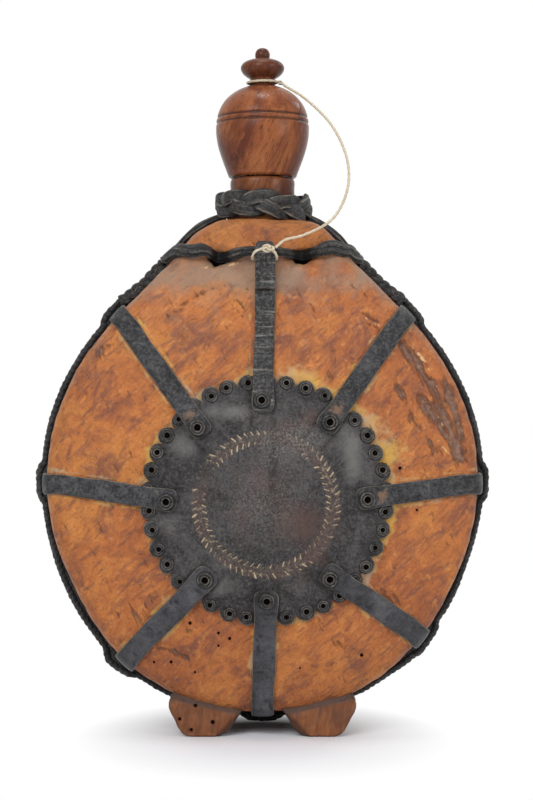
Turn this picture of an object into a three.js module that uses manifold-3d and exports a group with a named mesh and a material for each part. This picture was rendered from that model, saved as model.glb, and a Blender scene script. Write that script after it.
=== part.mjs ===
// A round wooden drinking flask on four carved feet, with a screw cap and a leather harness.
// Millimetres. +Z is up, the feet stand on z = 0 and the front face looks toward -Y.
import * as THREE from "three";
import { mergeVertices } from "three/addons/utils/BufferGeometryUtils.js";
import Module from "manifold-3d";

const wasm = await Module();
wasm.setup();

// Free space between neighbouring pieces, between the two threads, and round the folded thong
const gap = 0.4;
const threadGap = 0.4;
const foldGap = 0.7;

// Body: a disc with two domed faces, drawn up into shoulders and down into a base
const bodyRadius = 102;
const floorClearance = 11;
const baseDrop = 8;
const baseSpreadAngle = 48;
const shoulderRise = 22.5;
const shoulderSpreadAngle = 25;
const shoulderBulgeHeight = 3.5;
const bulgeAngle = 14;
const bulgeSpreadAngle = 6;
const faceDepth = 48;
const faceFall = 13;
const edgeRadius = 9;
const rimBarrel = 1.2;
const cavityRadius = 84;
const cavityDepth = 34;
const cavitySquareness = 0.75;

// Neck and the hollows that hold the shoulder thong
const neckRadius = 16.5;
const neckRootRadius = 18.5;
const neckHeight = 6;
const neckBoreRadius = 9.5;
const hollowSpread = 20.5;
const hollowDrop = 19;
const hollowBallRadius = 12;
const hollowDepth = 4;

// Feet
const footSpacing = 27.5;
const footBottomWidth = 20.5;
const footWidestOuter = 17.5;
const footWidestHeight = 14.5;
const footTopOuter = 13.5;
const footTopHeight = 23;
const footInnerReach = 19;
const footInnerHeight = 13.5;
const footFrontDepth = 33;
const footBackDepth = 9;

// Plug that closes the back of the body, and its wax ring
const discRadius = 43.5;
const discLedge = 5;
const discThickness = 7.6;
const discSealWidth = 1.8;
const discSealHeight = 2.6;

// Mouthpiece
const sealThickness = 1.3;
const spigotLength = 22;
const mouthBoreRadius = 4.6;
const flangeRadius = 15.6;
const flangeHeight = 13.4;
const threadCoreRadius = 9;
const threadSectionHeight = 15.5;
const lipRadius = 7.4;
const lipHeight = 7;
const threadPitch = 6;
const threadTurns = 2.1;
const threadDepth = 1.6;
const threadRootWidth = 4;
const threadCrestWidth = 1.8;
const threadStart = 1.4;

// Cap
const capBaseRadius = 16.3;
const capBellyRadius = 22.7;
const capBellyHeight = 24;
const capShoulderHeight = 45;
const capNeckRadius = 6.2;
const capNeckHeight = 3.6;
const finialRadius = 9.8;
const finialHeight = 9.6;
const beadRadius = 3.6;
const beadHeight = 5.4;
const grooveHeights = [26.4, 29.3];
const grooveWidth = 1.1;
const grooveDepth = 0.5;
const capSealThickness = 1.3;

// Leather harness
const medallionRadius = 57;
const medallionScallop = 1.3;
const scallopCount = 38;
const medallionThickness = 2;
const medallionDrop = 9;
const medallionX = 2;
const strapThickness = 2;
const strapWidth = 11;
const strapEndReach = 6;
const strapRamp = 7;
const rosetteRadius = 4.4;
const rosetteHoleRadius = 1.1;
const rosetteHeight = 2.2;
const rosetteReach = 46.5;
const cordRadius = 2.4;
const braidHalfWidth = 5.5;
const braidHalfThickness = 2.8;
const braidForward = 6;
const collarThickness = 7;
const collarHeight = 13.6;
const neckThongRadius = 2.1;
const thongRadius = 2.2;
const thongAngle = 22.5;
const thongDrop = 17.2;
const thongDip = 2.2;
const flapLength = 17.5;

// Each strap: the direction in which it meets the rim, and that of its rosette, in degrees from +X
const straps = [
  { name: "upper_right", rim: 49, rosette: 51.3 },
  { name: "right", rim: -1, rosette: 0.6 },
  { name: "lower_right", rim: -45, rosette: -51.3 },
  { name: "bottom", rim: -90, rosette: -90 },
  { name: "lower_left", rim: -127, rosette: -128 },
  { name: "left", rim: -179, rosette: -179.4 },
  { name: "upper_left", rim: 131, rosette: 133.4 },
];
const topRosette = 92.9;

// Twine: the knot lies to one side of the top strap, and the free run bows out sideways.
// Each row of the bow is a share of the way from knot to finial, then sideways and backward shift.
const twineRadius = 0.65;
const knotRadii = new THREE.Vector3(3.2, 1.6, 2);
const knotSide = 2.5;
const knotRise = 3;
const stringBow = [
  [0.06, 11.1, -0.5],
  [0.166, 26.1, 2.1],
  [0.34, 33.1, 2.9],
  [0.527, 32.9, 3.2],
  [0.738, 24.9, 1.4],
  [0.903, 11.4, -0.4],
  [0.975, 2.4, -0.4],
];

// Places that follow from the sizes above
const axisHeight = floorClearance + bodyRadius + baseDrop;
const shoulderTop = axisHeight + bodyRadius + shoulderRise;
const neckTop = shoulderTop + neckHeight;
const flangeBottom = neckTop + gap + sealThickness + gap;
const flangeTop = flangeBottom + flangeHeight;
const spigotRadius = neckBoreRadius - gap;
const lipTop = flangeTop + threadSectionHeight + lipHeight;
const capBottom = flangeTop + gap;
const capHollowTop = lipTop + gap + capSealThickness + gap;
const capBoreRadius = threadCoreRadius + threadGap;
const medallionZ = axisHeight - medallionDrop;
const hollowZ = shoulderTop - hollowDrop;
const thongZ = shoulderTop - thongDrop;
const openingRadius = discRadius + gap + discSealWidth + gap;
const ledgeDepth = faceDepth - discThickness - gap;
const collarMiddle = neckRadius + gap + collarThickness / 2;
const collarZ = shoulderTop + rimBarrel + gap + collarHeight / 2;
const loopRadius = capNeckRadius + gap + twineRadius;
const loopZ = capBottom + capShoulderHeight + capNeckHeight / 2;
const thongStand = gap + strapThickness + foldGap + thongRadius;
const hitchBelow = thongRadius + gap + 2 * twineRadius;
const perLength = 180 / Math.PI / bodyRadius;
const upperStrap = 90 - straps[0].rim;
const braidStart = thongAngle + perLength * (thongRadius + gap);
const braidEnd = upperStrap - perLength * (strapWidth / 2 + 2 * gap);
const cordStart = braidEnd + perLength * 1.5 * gap;

const wood = new THREE.MeshStandardMaterial({ color: 0xb4713f, roughness: 0.55 });
const darkWood = new THREE.MeshStandardMaterial({ color: 0x7d3f22, roughness: 0.35 });
const leather = new THREE.MeshStandardMaterial({ color: 0x3c3b3b, roughness: 0.7 });
const paleLeather = new THREE.MeshStandardMaterial({ color: 0x8a6a48, roughness: 0.8 });
const wax = new THREE.MeshStandardMaterial({ color: 0xc9b27a, roughness: 0.5 });
const twine = new THREE.MeshStandardMaterial({ color: 0xe6dcc4, roughness: 0.9 });

const radians = THREE.MathUtils.degToRad;

// Solids

function toSolid(geometry) {
  const loose = geometry.index ? geometry.toNonIndexed() : geometry;
  const bare = new THREE.BufferGeometry();
  bare.setAttribute("position", loose.getAttribute("position").clone());
  const merged = mergeVertices(bare, 1e-4);
  return new wasm.Manifold(
    new wasm.Mesh({
      numProp: 3,
      vertProperties: merged.attributes.position.array,
      triVerts: new Uint32Array(merged.index.array),
    }),
  );
}

function toGeometry(solid) {
  const mesh = solid.getMesh();
  const geometry = new THREE.BufferGeometry();
  geometry.setAttribute("position", new THREE.BufferAttribute(mesh.vertProperties, 3));
  geometry.setIndex(new THREE.BufferAttribute(mesh.triVerts, 1));
  geometry.computeVertexNormals();
  return geometry;
}

// A skin over rings of equal count. Each end is closed by a fan round the ring's middle or a given point.
function loft(rings, firstPoint, lastPoint) {
  const count = rings[0].length;
  const points = rings.flat();
  const faces = [];
  for (let i = 0; i < rings.length - 1; i++) {
    for (let j = 0; j < count; j++) {
      const a = i * count + j;
      const b = i * count + ((j + 1) % count);
      faces.push([a, b, b + count], [a, b + count, a + count]);
    }
  }
  const middle = (ring) => {
    const sum = new THREE.Vector3();
    ring.forEach((p) => sum.add(p));
    return sum.divideScalar(ring.length);
  };
  const first = points.length;
  points.push(firstPoint || middle(rings[0]));
  points.push(lastPoint || middle(rings[rings.length - 1]));
  const start = (rings.length - 1) * count;
  for (let j = 0; j < count; j++) {
    const next = (j + 1) % count;
    faces.push([first, next, j], [first + 1, start + j, start + next]);
  }
  const volume = faces.reduce((sum, [a, b, c]) => {
    const side = points[b].clone().cross(points[c]);
    return sum + points[a].dot(side);
  }, 0);
  const outward = volume < 0 ? faces.map(([a, b, c]) => [a, c, b]) : faces;
  const geometry = new THREE.BufferGeometry().setFromPoints(points);
  geometry.setIndex(outward.flat());
  geometry.computeVertexNormals();
  return geometry;
}

// A body turned about the Z axis through the origin, from a closed outline or one that ends on the axis
function turned(outline, segments) {
  const geometry = new THREE.LatheGeometry(outline, segments);
  geometry.rotateX(Math.PI / 2);
  return geometry;
}

function closed(points) {
  return [...points, points[0].clone()];
}

function ring(innerRadius, outerRadius, bottom, top) {
  return closed([
    new THREE.Vector2(innerRadius, bottom),
    new THREE.Vector2(outerRadius, bottom),
    new THREE.Vector2(outerRadius, top),
    new THREE.Vector2(innerRadius, top),
  ]);
}

// A round or flattened cord along a curve
function cord(curve, halfWidth, halfThickness, sides, steps) {
  const section = new THREE.Shape();
  for (let i = 0; i < sides; i++) {
    const turn = (2 * Math.PI * i) / sides;
    const x = halfWidth * Math.cos(turn);
    const y = halfThickness * Math.sin(turn);
    if (i === 0) section.moveTo(x, y);
    else section.lineTo(x, y);
  }
  section.closePath();
  return new THREE.ExtrudeGeometry(section, { steps, extrudePath: curve, curveSegments: 1 });
}

// Body surface

// Distance from the faces' axis to the edge of the faces, in a direction given in degrees from +X
function outline(direction) {
  const up = Math.abs(((direction - 90 + 540) % 360) - 180);
  const down = 180 - up;
  const shoulder = shoulderRise * Math.exp(-((up / shoulderSpreadAngle) ** 2));
  const bulge = shoulderBulgeHeight * Math.exp(-(((up - bulgeAngle) / bulgeSpreadAngle) ** 2));
  const base = baseDrop * Math.exp(-((down / baseSpreadAngle) ** 4));
  return bodyRadius + shoulder + bulge + base;
}

// Half depth of the domed face at a distance from its axis
function faceHalf(radius) {
  return faceDepth - faceFall * (radius / bodyRadius) ** 2;
}

// Rounding between face and rim in one direction
function edgeOf(direction) {
  const reach = outline(direction);
  const slope = (2 * faceFall * (reach - edgeRadius)) / bodyRadius ** 2;
  const start = Math.atan(slope);
  const centre = reach - edgeRadius;
  const tangent = centre + edgeRadius * Math.sin(start);
  return { start, centre, tangent, depth: faceHalf(tangent) - edgeRadius * Math.cos(start) };
}

function polar(direction, radius, y) {
  const turn = radians(direction);
  return new THREE.Vector3(radius * Math.cos(turn), y, axisHeight + radius * Math.sin(turn));
}

// Point over the face, lifted straight off it. Side is -1 for the front and 1 for the back.
function overFace(x, z, side, lift) {
  const radius = Math.hypot(x, z - axisHeight);
  return new THREE.Vector3(x, side * (faceHalf(radius) + lift), z);
}

// Outward direction of the outline
function outlineNormal(direction) {
  const along = polar(direction + 0.5, outline(direction + 0.5), 0);
  along.sub(polar(direction - 0.5, outline(direction - 0.5), 0));
  return new THREE.Vector3(along.z, 0, -along.x).normalize();
}

// Point over the rounded edge. Share runs from 0 at the face to 1 at the rim.
function overEdge(direction, share, side, lift) {
  const edge = edgeOf(direction);
  const turn = edge.start + share * (Math.PI / 2 - edge.start);
  const radius = edge.centre + edgeRadius * Math.sin(turn);
  const depth = edge.depth + (edgeRadius + lift) * Math.cos(turn);
  const place = polar(direction, radius, side * depth);
  return place.addScaledVector(outlineNormal(direction), lift * Math.sin(turn));
}

// Point over the rim. Place runs from -1 at the front edge to 1 at the back edge.
function overRim(direction, place, lift) {
  const edge = edgeOf(direction);
  const reach = outline(direction) + rimBarrel * (1 - place * place);
  return polar(direction, reach, place * edge.depth).addScaledVector(outlineNormal(direction), lift);
}

// Steps from the face over the rounded edge to the rim
const edgeShares = [0, 0.33, 0.67, 1];

// Wooden pieces

function cylinder(radius, bottom, top, segments) {
  return turned(
    [
      new THREE.Vector2(0, bottom),
      new THREE.Vector2(radius, bottom),
      new THREE.Vector2(radius, top),
      new THREE.Vector2(0, top),
    ],
    segments,
  );
}

function makeBody() {
  const segments = 48;
  const around = [...Array(segments).keys()].map((i) => (360 * i) / segments);
  const half = (side) => {
    const face = [0.2, 0.5, 0.78].map((share) =>
      around.map((direction) => {
        const radius = share * edgeOf(direction).tangent;
        return polar(direction, radius, side * faceHalf(radius));
      }),
    );
    const edge = edgeShares.map((share) =>
      around.map((direction) => overEdge(direction, share, side, 0)),
    );
    return [...face, ...edge];
  };
  const rim = [-0.5, 0, 0.5].map((place) =>
    around.map((direction) => overRim(direction, place, 0)),
  );
  const outside = loft(
    [...half(-1), ...rim, ...half(1).reverse()],
    new THREE.Vector3(0, -faceDepth, axisHeight),
    new THREE.Vector3(0, faceDepth, axisHeight),
  );
  const neckRoot = shoulderTop - 2 * neckHeight;
  const neck = turned(
    [
      new THREE.Vector2(0, neckRoot),
      new THREE.Vector2(neckRootRadius, neckRoot),
      new THREE.Vector2(neckRootRadius, shoulderTop),
      new THREE.Vector2(neckRadius, shoulderTop + rimBarrel),
      new THREE.Vector2(neckRadius, neckTop),
      new THREE.Vector2(0, neckTop),
    ],
    32,
  );
  let solid = toSolid(outside).add(toSolid(neck));
  for (const side of [-1, 1]) {
    solid = solid.add(toSolid(makeFoot(-1, side))).add(toSolid(makeFoot(1, side)));
  }
  return toGeometry(solid.subtract(makeHollow()));
}

// Carved foot: its outline seen from the front, carried back under the body
function makeFoot(hand, side) {
  const half = footBottomWidth / 2;
  const inside = floorClearance + baseDrop + edgeRadius;
  const corners = [
    [half, 0],
    [footWidestOuter, footWidestHeight],
    [footTopOuter, footTopHeight],
    [footTopOuter - edgeRadius, footTopHeight + edgeRadius],
    [-half, inside],
    [-footInnerReach, footInnerHeight + edgeRadius / 2],
    [-footInnerReach, footInnerHeight],
    [-half, 0],
  ];
  const points = corners.map(([x, z]) => new THREE.Vector2(hand * (footSpacing + x), z));
  const depth = footFrontDepth - footBackDepth;
  const geometry = new THREE.ExtrudeGeometry(new THREE.Shape(points), { depth, bevelEnabled: false });
  geometry.rotateX(Math.PI / 2);
  const front = side < 0 ? -footBackDepth : footFrontDepth;
  geometry.translate(0, front, 0);
  return geometry;
}

// Everything that is hollowed out of the body
function makeHollow() {
  const steps = 12;
  const lens = [...Array(steps + 1).keys()].map((i) => {
    const turn = (i / steps - 0.5) * Math.PI;
    const onAxis = i === 0 || i === steps;
    const radius = onAxis ? 0 : cavityRadius * Math.cos(turn) ** cavitySquareness;
    const deep = cavityDepth * Math.abs(Math.sin(turn)) ** cavitySquareness;
    return new THREE.Vector2(radius, Math.sign(turn) * deep);
  });
  const cavity = new THREE.LatheGeometry(lens, 32);
  const mouth = cylinder(neckBoreRadius, cavityRadius / 2, neckTop + neckHeight - axisHeight, 28);
  const outer = new THREE.CylinderGeometry(openingRadius, openingRadius, faceDepth, 36);
  outer.translate(0, ledgeDepth + faceDepth / 2, 0);
  const innerRadius = openingRadius - discLedge;
  const inner = new THREE.CylinderGeometry(innerRadius, innerRadius, faceDepth, 36);
  inner.translate(0, faceDepth * 0.75, 0);
  let solid = toSolid(cavity).add(toSolid(mouth)).add(toSolid(outer)).add(toSolid(inner));
  for (const side of [-1, 1]) {
    for (const hand of [-1, 1]) {
      const ball = new THREE.SphereGeometry(hollowBallRadius, 14, 8);
      const place = overFace(hand * hollowSpread, hollowZ, side, hollowBallRadius - hollowDepth);
      ball.translate(place.x, place.y, place.z - axisHeight);
      solid = solid.add(toSolid(ball));
    }
  }
  return solid.translate([0, 0, axisHeight]);
}

// Plug of the back opening: its outside carries on the dome of the face
function makeClosingDisc() {
  const dome = [1, 0.75, 0.5, 0.25, 0].map(
    (share) => new THREE.Vector2(share * discRadius, faceHalf(share * discRadius)),
  );
  const bottom = faceDepth - discThickness;
  const geometry = new THREE.LatheGeometry(
    [new THREE.Vector2(0, bottom), new THREE.Vector2(discRadius, bottom), ...dome],
    36,
  );
  geometry.translate(0, 0, axisHeight);
  return geometry;
}

function makeDiscSeal() {
  const inner = discRadius + gap;
  const bottom = ledgeDepth + gap;
  const section = ring(inner, inner + discSealWidth, bottom, bottom + discSealHeight);
  const geometry = new THREE.LatheGeometry(section, 36);
  geometry.translate(0, 0, axisHeight);
  return geometry;
}

// Helical ridge. Its section is a trapezium that reaches from inside the core to the crest.
function helix(fromTurn, toTurn, grow) {
  const steps = Math.ceil((toTurn - fromTurn) * 20);
  const inner = threadCoreRadius - threadDepth / 3;
  const outer = threadCoreRadius + threadDepth + grow;
  const root = threadRootWidth / 2 + grow;
  const crest = threadCrestWidth / 2 + grow;
  const section = [
    [inner, -root],
    [outer, -crest],
    [outer, crest],
    [inner, root],
  ];
  const rings = [...Array(steps + 1).keys()].map((i) => {
    const turns = fromTurn + ((toTurn - fromTurn) * i) / steps;
    const turn = turns * 2 * Math.PI;
    const height = flangeTop + threadStart + threadRootWidth / 2 + turns * threadPitch;
    return section.map(
      ([radius, rise]) =>
        new THREE.Vector3(radius * Math.cos(turn), radius * Math.sin(turn), height + rise),
    );
  });
  return toSolid(loft(rings));
}

function makeMouthpiece() {
  const soft = (flangeRadius - threadCoreRadius) / 10;
  const section = closed([
    new THREE.Vector2(mouthBoreRadius, neckTop - spigotLength),
    new THREE.Vector2(spigotRadius, neckTop - spigotLength),
    new THREE.Vector2(spigotRadius, flangeBottom),
    new THREE.Vector2(flangeRadius, flangeBottom),
    new THREE.Vector2(flangeRadius, flangeTop - soft),
    new THREE.Vector2(flangeRadius - soft, flangeTop),
    new THREE.Vector2(threadCoreRadius, flangeTop),
    new THREE.Vector2(threadCoreRadius, flangeTop + threadSectionHeight),
    new THREE.Vector2(lipRadius, flangeTop + threadSectionHeight),
    new THREE.Vector2(lipRadius, lipTop - soft),
    new THREE.Vector2(lipRadius - soft, lipTop),
    new THREE.Vector2(mouthBoreRadius, lipTop),
  ]);
  return toGeometry(toSolid(turned(section, 28)).add(helix(0, threadTurns, 0)));
}

function makeCap() {
  const at = (radius, height) => new THREE.Vector2(radius, capBottom + height);
  const rise = capShoulderHeight - capBellyHeight;
  const neckEnd = capShoulderHeight + capNeckHeight;
  const beadStart = neckEnd + finialHeight;
  const beadEnd = beadStart + beadHeight;
  const belly = new THREE.CubicBezierCurve(
    at(capBaseRadius, 0),
    at(capBaseRadius + 2.5, capBellyHeight * 0.3),
    at(capBellyRadius, capBellyHeight * 0.62),
    at(capBellyRadius, capBellyHeight),
  );
  const shoulder = new THREE.CubicBezierCurve(
    at(capBellyRadius, capBellyHeight),
    at(capBellyRadius, capBellyHeight + rise * 0.66),
    at(capNeckRadius * 2.2, capShoulderHeight - rise * 0.1),
    at(capNeckRadius, capShoulderHeight),
  );
  const finial = new THREE.CubicBezierCurve(
    at(capNeckRadius, neckEnd),
    at(finialRadius * 1.3, neckEnd + finialHeight * 0.35),
    at(finialRadius * 1.25, beadStart - finialHeight * 0.1),
    at(beadRadius * 0.9, beadStart),
  );
  const bead = new THREE.CubicBezierCurve(
    at(beadRadius * 0.9, beadStart),
    at(beadRadius * 1.15, beadStart + beadHeight * 0.4),
    at(beadRadius, beadEnd),
    at(0, beadEnd),
  );
  const outside = [
    at(0, 0),
    ...belly.getPoints(5),
    ...shoulder.getPoints(8).slice(1),
    ...finial.getPoints(7),
    ...bead.getPoints(4).slice(1),
  ];
  let solid = toSolid(turned(outside, 28));
  for (const height of grooveHeights) {
    const groove = turned(
      closed([
        at(capBellyRadius + grooveDepth, height - grooveWidth),
        at(capBellyRadius + grooveDepth, height + grooveWidth),
        at(capBellyRadius - grooveDepth, height),
      ]),
      28,
    );
    solid = solid.subtract(toSolid(groove));
  }
  const bore = cylinder(capBoreRadius, capBottom - flangeHeight, capHollowTop, 28);
  const endPlay = threadGap / threadCoreRadius;
  solid = solid.subtract(toSolid(bore)).subtract(helix(-1, threadTurns + endPlay, threadGap));
  return toGeometry(solid);
}

// Leather pieces

// Sheet on the dome, with a scalloped edge
function makeMedallion(side) {
  const segments = 2 * scallopCount;
  const around = [...Array(segments).keys()].map((i) => (360 * i) / segments);
  const sheet = (share, lift) =>
    around.map((direction, i) => {
      const edge = share < 1 ? 0 : medallionScallop * (i % 2 ? 1 : -1);
      const radius = share * medallionRadius + edge;
      const turn = radians(direction);
      const x = medallionX + radius * Math.cos(turn);
      return overFace(x, medallionZ + radius * Math.sin(turn), side, lift);
    });
  const top = gap + medallionThickness;
  const shares = [0.35, 0.7, 1];
  return loft(
    [...shares.map((s) => sheet(s, top)), ...shares.map((s) => sheet(s, gap)).reverse()],
    overFace(medallionX, medallionZ, side, top),
    overFace(medallionX, medallionZ, side, gap),
  );
}

// How far a strap lies off the face: it steps up onto the medallion
function strapLift(x, z) {
  const away = Math.hypot(x - medallionX, z - medallionZ);
  const edge = medallionRadius + medallionScallop + gap;
  const share = THREE.MathUtils.smoothstep(away, edge, edge + strapRamp);
  return gap + (medallionThickness + gap) * (1 - share);
}

// Strap from the front medallion over the rim to the back one
function makeStrap(strap) {
  const turn = radians(strap.rosette);
  const reach = rosetteReach - strapEndReach;
  const from = new THREE.Vector2(
    medallionX + reach * Math.cos(turn),
    medallionZ + reach * Math.sin(turn),
  );
  const tangent = polar(strap.rim, edgeOf(strap.rim).tangent, 0);
  const to = new THREE.Vector2(tangent.x, tangent.z);
  const along = to.clone().sub(from);
  const across = new THREE.Vector2(along.y, -along.x).normalize();
  const edge = medallionRadius + medallionScallop + gap - reach;
  const length = along.length();
  const marks = [0, edge / 2, edge, edge + strapRamp / 2, edge + strapRamp];
  const rest = length - edge - strapRamp;
  const places = [...marks, edge + strapRamp + rest / 3, edge + strapRamp + (2 * rest) / 3];
  const faceRing = (distance, side) => {
    const middle = from.clone().addScaledVector(along, distance / length);
    const lift = strapLift(middle.x, middle.y);
    const corner = (hand, high) => {
      const place = middle.clone().addScaledVector(across, (hand * strapWidth) / 2);
      return overFace(place.x, place.y, side, lift + high);
    };
    return [corner(-1, 0), corner(1, 0), corner(1, strapThickness), corner(-1, strapThickness)];
  };
  const swing = THREE.MathUtils.radToDeg(strapWidth / 2 / outline(strap.rim));
  const edgeRing = (share, side) => {
    const corner = (hand, high) => overEdge(strap.rim - hand * swing, share, side, gap + high);
    return [corner(-1, 0), corner(1, 0), corner(1, strapThickness), corner(-1, strapThickness)];
  };
  const rimRing = (place) => {
    const corner = (hand, high) => overRim(strap.rim - hand * swing, place, gap + high);
    return [corner(-1, 0), corner(1, 0), corner(1, strapThickness), corner(-1, strapThickness)];
  };
  const half = (side) => [
    ...places.map((distance) => faceRing(distance, side)),
    ...edgeShares.map((share) => edgeRing(share, side)),
  ];
  return loft([...half(-1), ...[-0.5, 0, 0.5].map(rimRing), ...half(1).reverse()]);
}

// Frame on the face's middle line: place, outward normal and upward direction
function faceFrame(z, side) {
  const radius = z - axisHeight;
  const slope = Math.atan((2 * faceFall * radius) / bodyRadius ** 2);
  return {
    place: overFace(0, z, side, 0),
    normal: new THREE.Vector3(0, side * Math.cos(slope), Math.sin(slope)),
    up: new THREE.Vector3(0, -side * Math.sin(slope), Math.cos(slope)),
    slope,
  };
}

// Middle of the thong where the top strap is folded round it
function thongMiddle(side) {
  const { slope } = faceFrame(thongZ, side);
  return overFace(0, thongZ, side, thongStand / Math.cos(slope));
}

// Frame on the face at a distance below the thong, measured along the face
function frameBelow(below, side) {
  const { slope } = faceFrame(thongZ, side);
  return faceFrame(thongZ - thongStand * Math.sin(slope) - below * Math.cos(slope), side);
}

// Height of the folded flap's middle over the face, at a distance below the thong
function flapHeight(below) {
  const low = 2 * gap + strapThickness * 1.5;
  const high = thongStand + thongRadius + foldGap + strapThickness / 2;
  const settled = thongRadius * 4.5;
  return high + (low - high) * THREE.MathUtils.smoothstep(below, thongRadius * 0.6, settled);
}

// Strap from the medallion up to the thong, round it and down again as a flap
function makeTopStrap(side) {
  const bend = thongRadius + foldGap + strapThickness / 2;
  const hub = thongMiddle(side);
  const frame = faceFrame(thongZ, side);
  const bottom = medallionZ + rosetteReach - strapEndReach;
  const edge = medallionZ + medallionRadius + medallionScallop + gap;
  const stop = thongZ - thongRadius;
  const heights = [
    bottom,
    (bottom + edge) / 2,
    edge,
    edge + strapRamp / 2,
    edge + strapRamp,
    edge + strapRamp + (stop - edge - strapRamp) / 3,
    edge + strapRamp + (2 * (stop - edge - strapRamp)) / 3,
    stop,
  ];
  const band = (middle, normal) => {
    const corner = (hand, high) =>
      middle
        .clone()
        .addScaledVector(normal, (high * strapThickness) / 2)
        .add(new THREE.Vector3((hand * strapWidth) / 2, 0, 0));
    return [corner(-1, -1), corner(1, -1), corner(1, 1), corner(-1, 1)];
  };
  const onFace = heights.map((z) => {
    const { place, normal } = faceFrame(z, side);
    const lift = strapLift(0, z) + strapThickness / 2;
    return band(place.clone().addScaledVector(normal, lift), normal);
  });
  const fold = [0, 30, 60, 90, 120, 150, 180].map((angle) => {
    const turn = radians(angle);
    const out = frame.normal
      .clone()
      .multiplyScalar(-Math.cos(turn))
      .addScaledVector(frame.up, Math.sin(turn));
    return band(hub.clone().addScaledVector(out, bend), out.clone().negate());
  });
  const flap = [0.14, 0.28, 0.42, 0.6, 1].map((share) => {
    const below = share * flapLength;
    const { place, normal } = frameBelow(below, side);
    return band(place.clone().addScaledVector(normal, flapHeight(below)), normal.clone().negate());
  });
  return loft([...onFace, ...fold, ...flap]);
}

// Round button with a hole, on a strap end
function makeRosette(direction, side) {
  const section = closed([
    new THREE.Vector2(rosetteHoleRadius, 0),
    new THREE.Vector2(rosetteRadius, 0),
    new THREE.Vector2(rosetteRadius, rosetteHeight * 0.45),
    new THREE.Vector2(rosetteRadius * 0.62, rosetteHeight),
    new THREE.Vector2(rosetteHoleRadius, rosetteHeight * 0.6),
  ]);
  const geometry = turned(section, 10);
  const turn = radians(direction);
  const x = medallionX + rosetteReach * Math.cos(turn);
  const z = medallionZ + rosetteReach * Math.sin(turn);
  const radius = Math.hypot(x, z - axisHeight);
  const lean = (2 * faceFall) / bodyRadius ** 2;
  const normal = new THREE.Vector3(lean * x, side, lean * (z - axisHeight)).normalize();
  const turnTo = new THREE.Quaternion().setFromUnitVectors(new THREE.Vector3(0, 0, 1), normal);
  geometry.applyQuaternion(turnTo);
  const stack = strapLift(x, z) + strapThickness + gap + (lean * radius) ** 2;
  const place = overFace(x, z, side, stack);
  geometry.translate(place.x, place.y, place.z);
  return geometry;
}

// Cord round the rim: it rises over each strap
function makeRimCord() {
  const from = 90 - cordStart;
  const to = -270 + cordStart;
  const count = 96;
  const points = [...Array(count + 1).keys()].map((i) => {
    const direction = from + ((to - from) * i) / count;
    const rise = straps.reduce((most, strap) => {
      const apart = Math.abs(((direction - strap.rim + 540) % 360) - 180);
      const away = radians(apart) * outline(direction);
      return Math.max(most, Math.exp(-((away / strapWidth) ** 4)));
    }, 0);
    const lift = gap + cordRadius + rise * (strapThickness + 2.4 * gap);
    return overRim(direction, 0, lift);
  });
  return cord(new THREE.CatmullRomCurve3(points), cordRadius, cordRadius, 8, 80);
}

// Doubled braid between the rim cord and the shoulder thong
function makeBraid(hand) {
  const points = [...Array(7).keys()].map((i) => {
    const share = i / 6;
    const angle = braidEnd + (braidStart - braidEnd) * share;
    const direction = 90 - hand * angle;
    const forward = -braidForward * THREE.MathUtils.smoothstep(share, 0, 1);
    const place = forward / edgeOf(direction).depth;
    return overRim(direction, place, 1.5 * gap + braidHalfThickness);
  });
  return cord(new THREE.CatmullRomCurve3(points), braidHalfWidth, braidHalfThickness, 10, 8);
}

// Thong round the shoulders, laid into the hollows at front and back
function makeThong() {
  const lift = gap + thongRadius;
  const lipX = hollowBallRadius * 0.6;
  const lipZ = hollowBallRadius * 0.25;
  const quarter = (hand, side) => [
    overRim(90 - hand * thongAngle, 0.5 * side, lift),
    overRim(90 - hand * thongAngle, 0.9 * side, lift),
    overEdge(90 - hand * (thongAngle - 2.4), 0.65, side, lift),
    overEdge(90 - hand * (thongAngle - 5.5), 0.25, side, lift + gap),
    overFace(hand * (hollowSpread + lipX), hollowZ + lipZ, side, lift + gap),
    overFace(hand * hollowSpread, hollowZ, side, lift + gap - thongDip),
    overFace(hand * (strapWidth / 2 + thongRadius), thongZ, side, thongOff(side)),
  ];
  const points = [
    overRim(90 - thongAngle, 0, lift),
    ...quarter(1, -1),
    thongMiddle(-1),
    ...quarter(-1, -1).reverse(),
    overRim(90 + thongAngle, 0, lift),
    ...quarter(-1, 1),
    thongMiddle(1),
    ...quarter(1, 1).reverse(),
  ];
  return cord(new THREE.CatmullRomCurve3(points, true), thongRadius, thongRadius, 8, 68);
}

function thongOff(side) {
  const middle = thongMiddle(side);
  return Math.abs(middle.y) - faceHalf(thongZ - axisHeight);
}

function makeCollar() {
  const count = 10;
  const section = [...Array(count).keys()].map((i) => {
    const turn = (2 * Math.PI * i) / count;
    return new THREE.Vector2(
      collarMiddle + (collarThickness / 2) * Math.cos(turn),
      collarZ + (collarHeight / 2) * Math.sin(turn),
    );
  });
  return turned(closed(section), 28);
}

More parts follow.
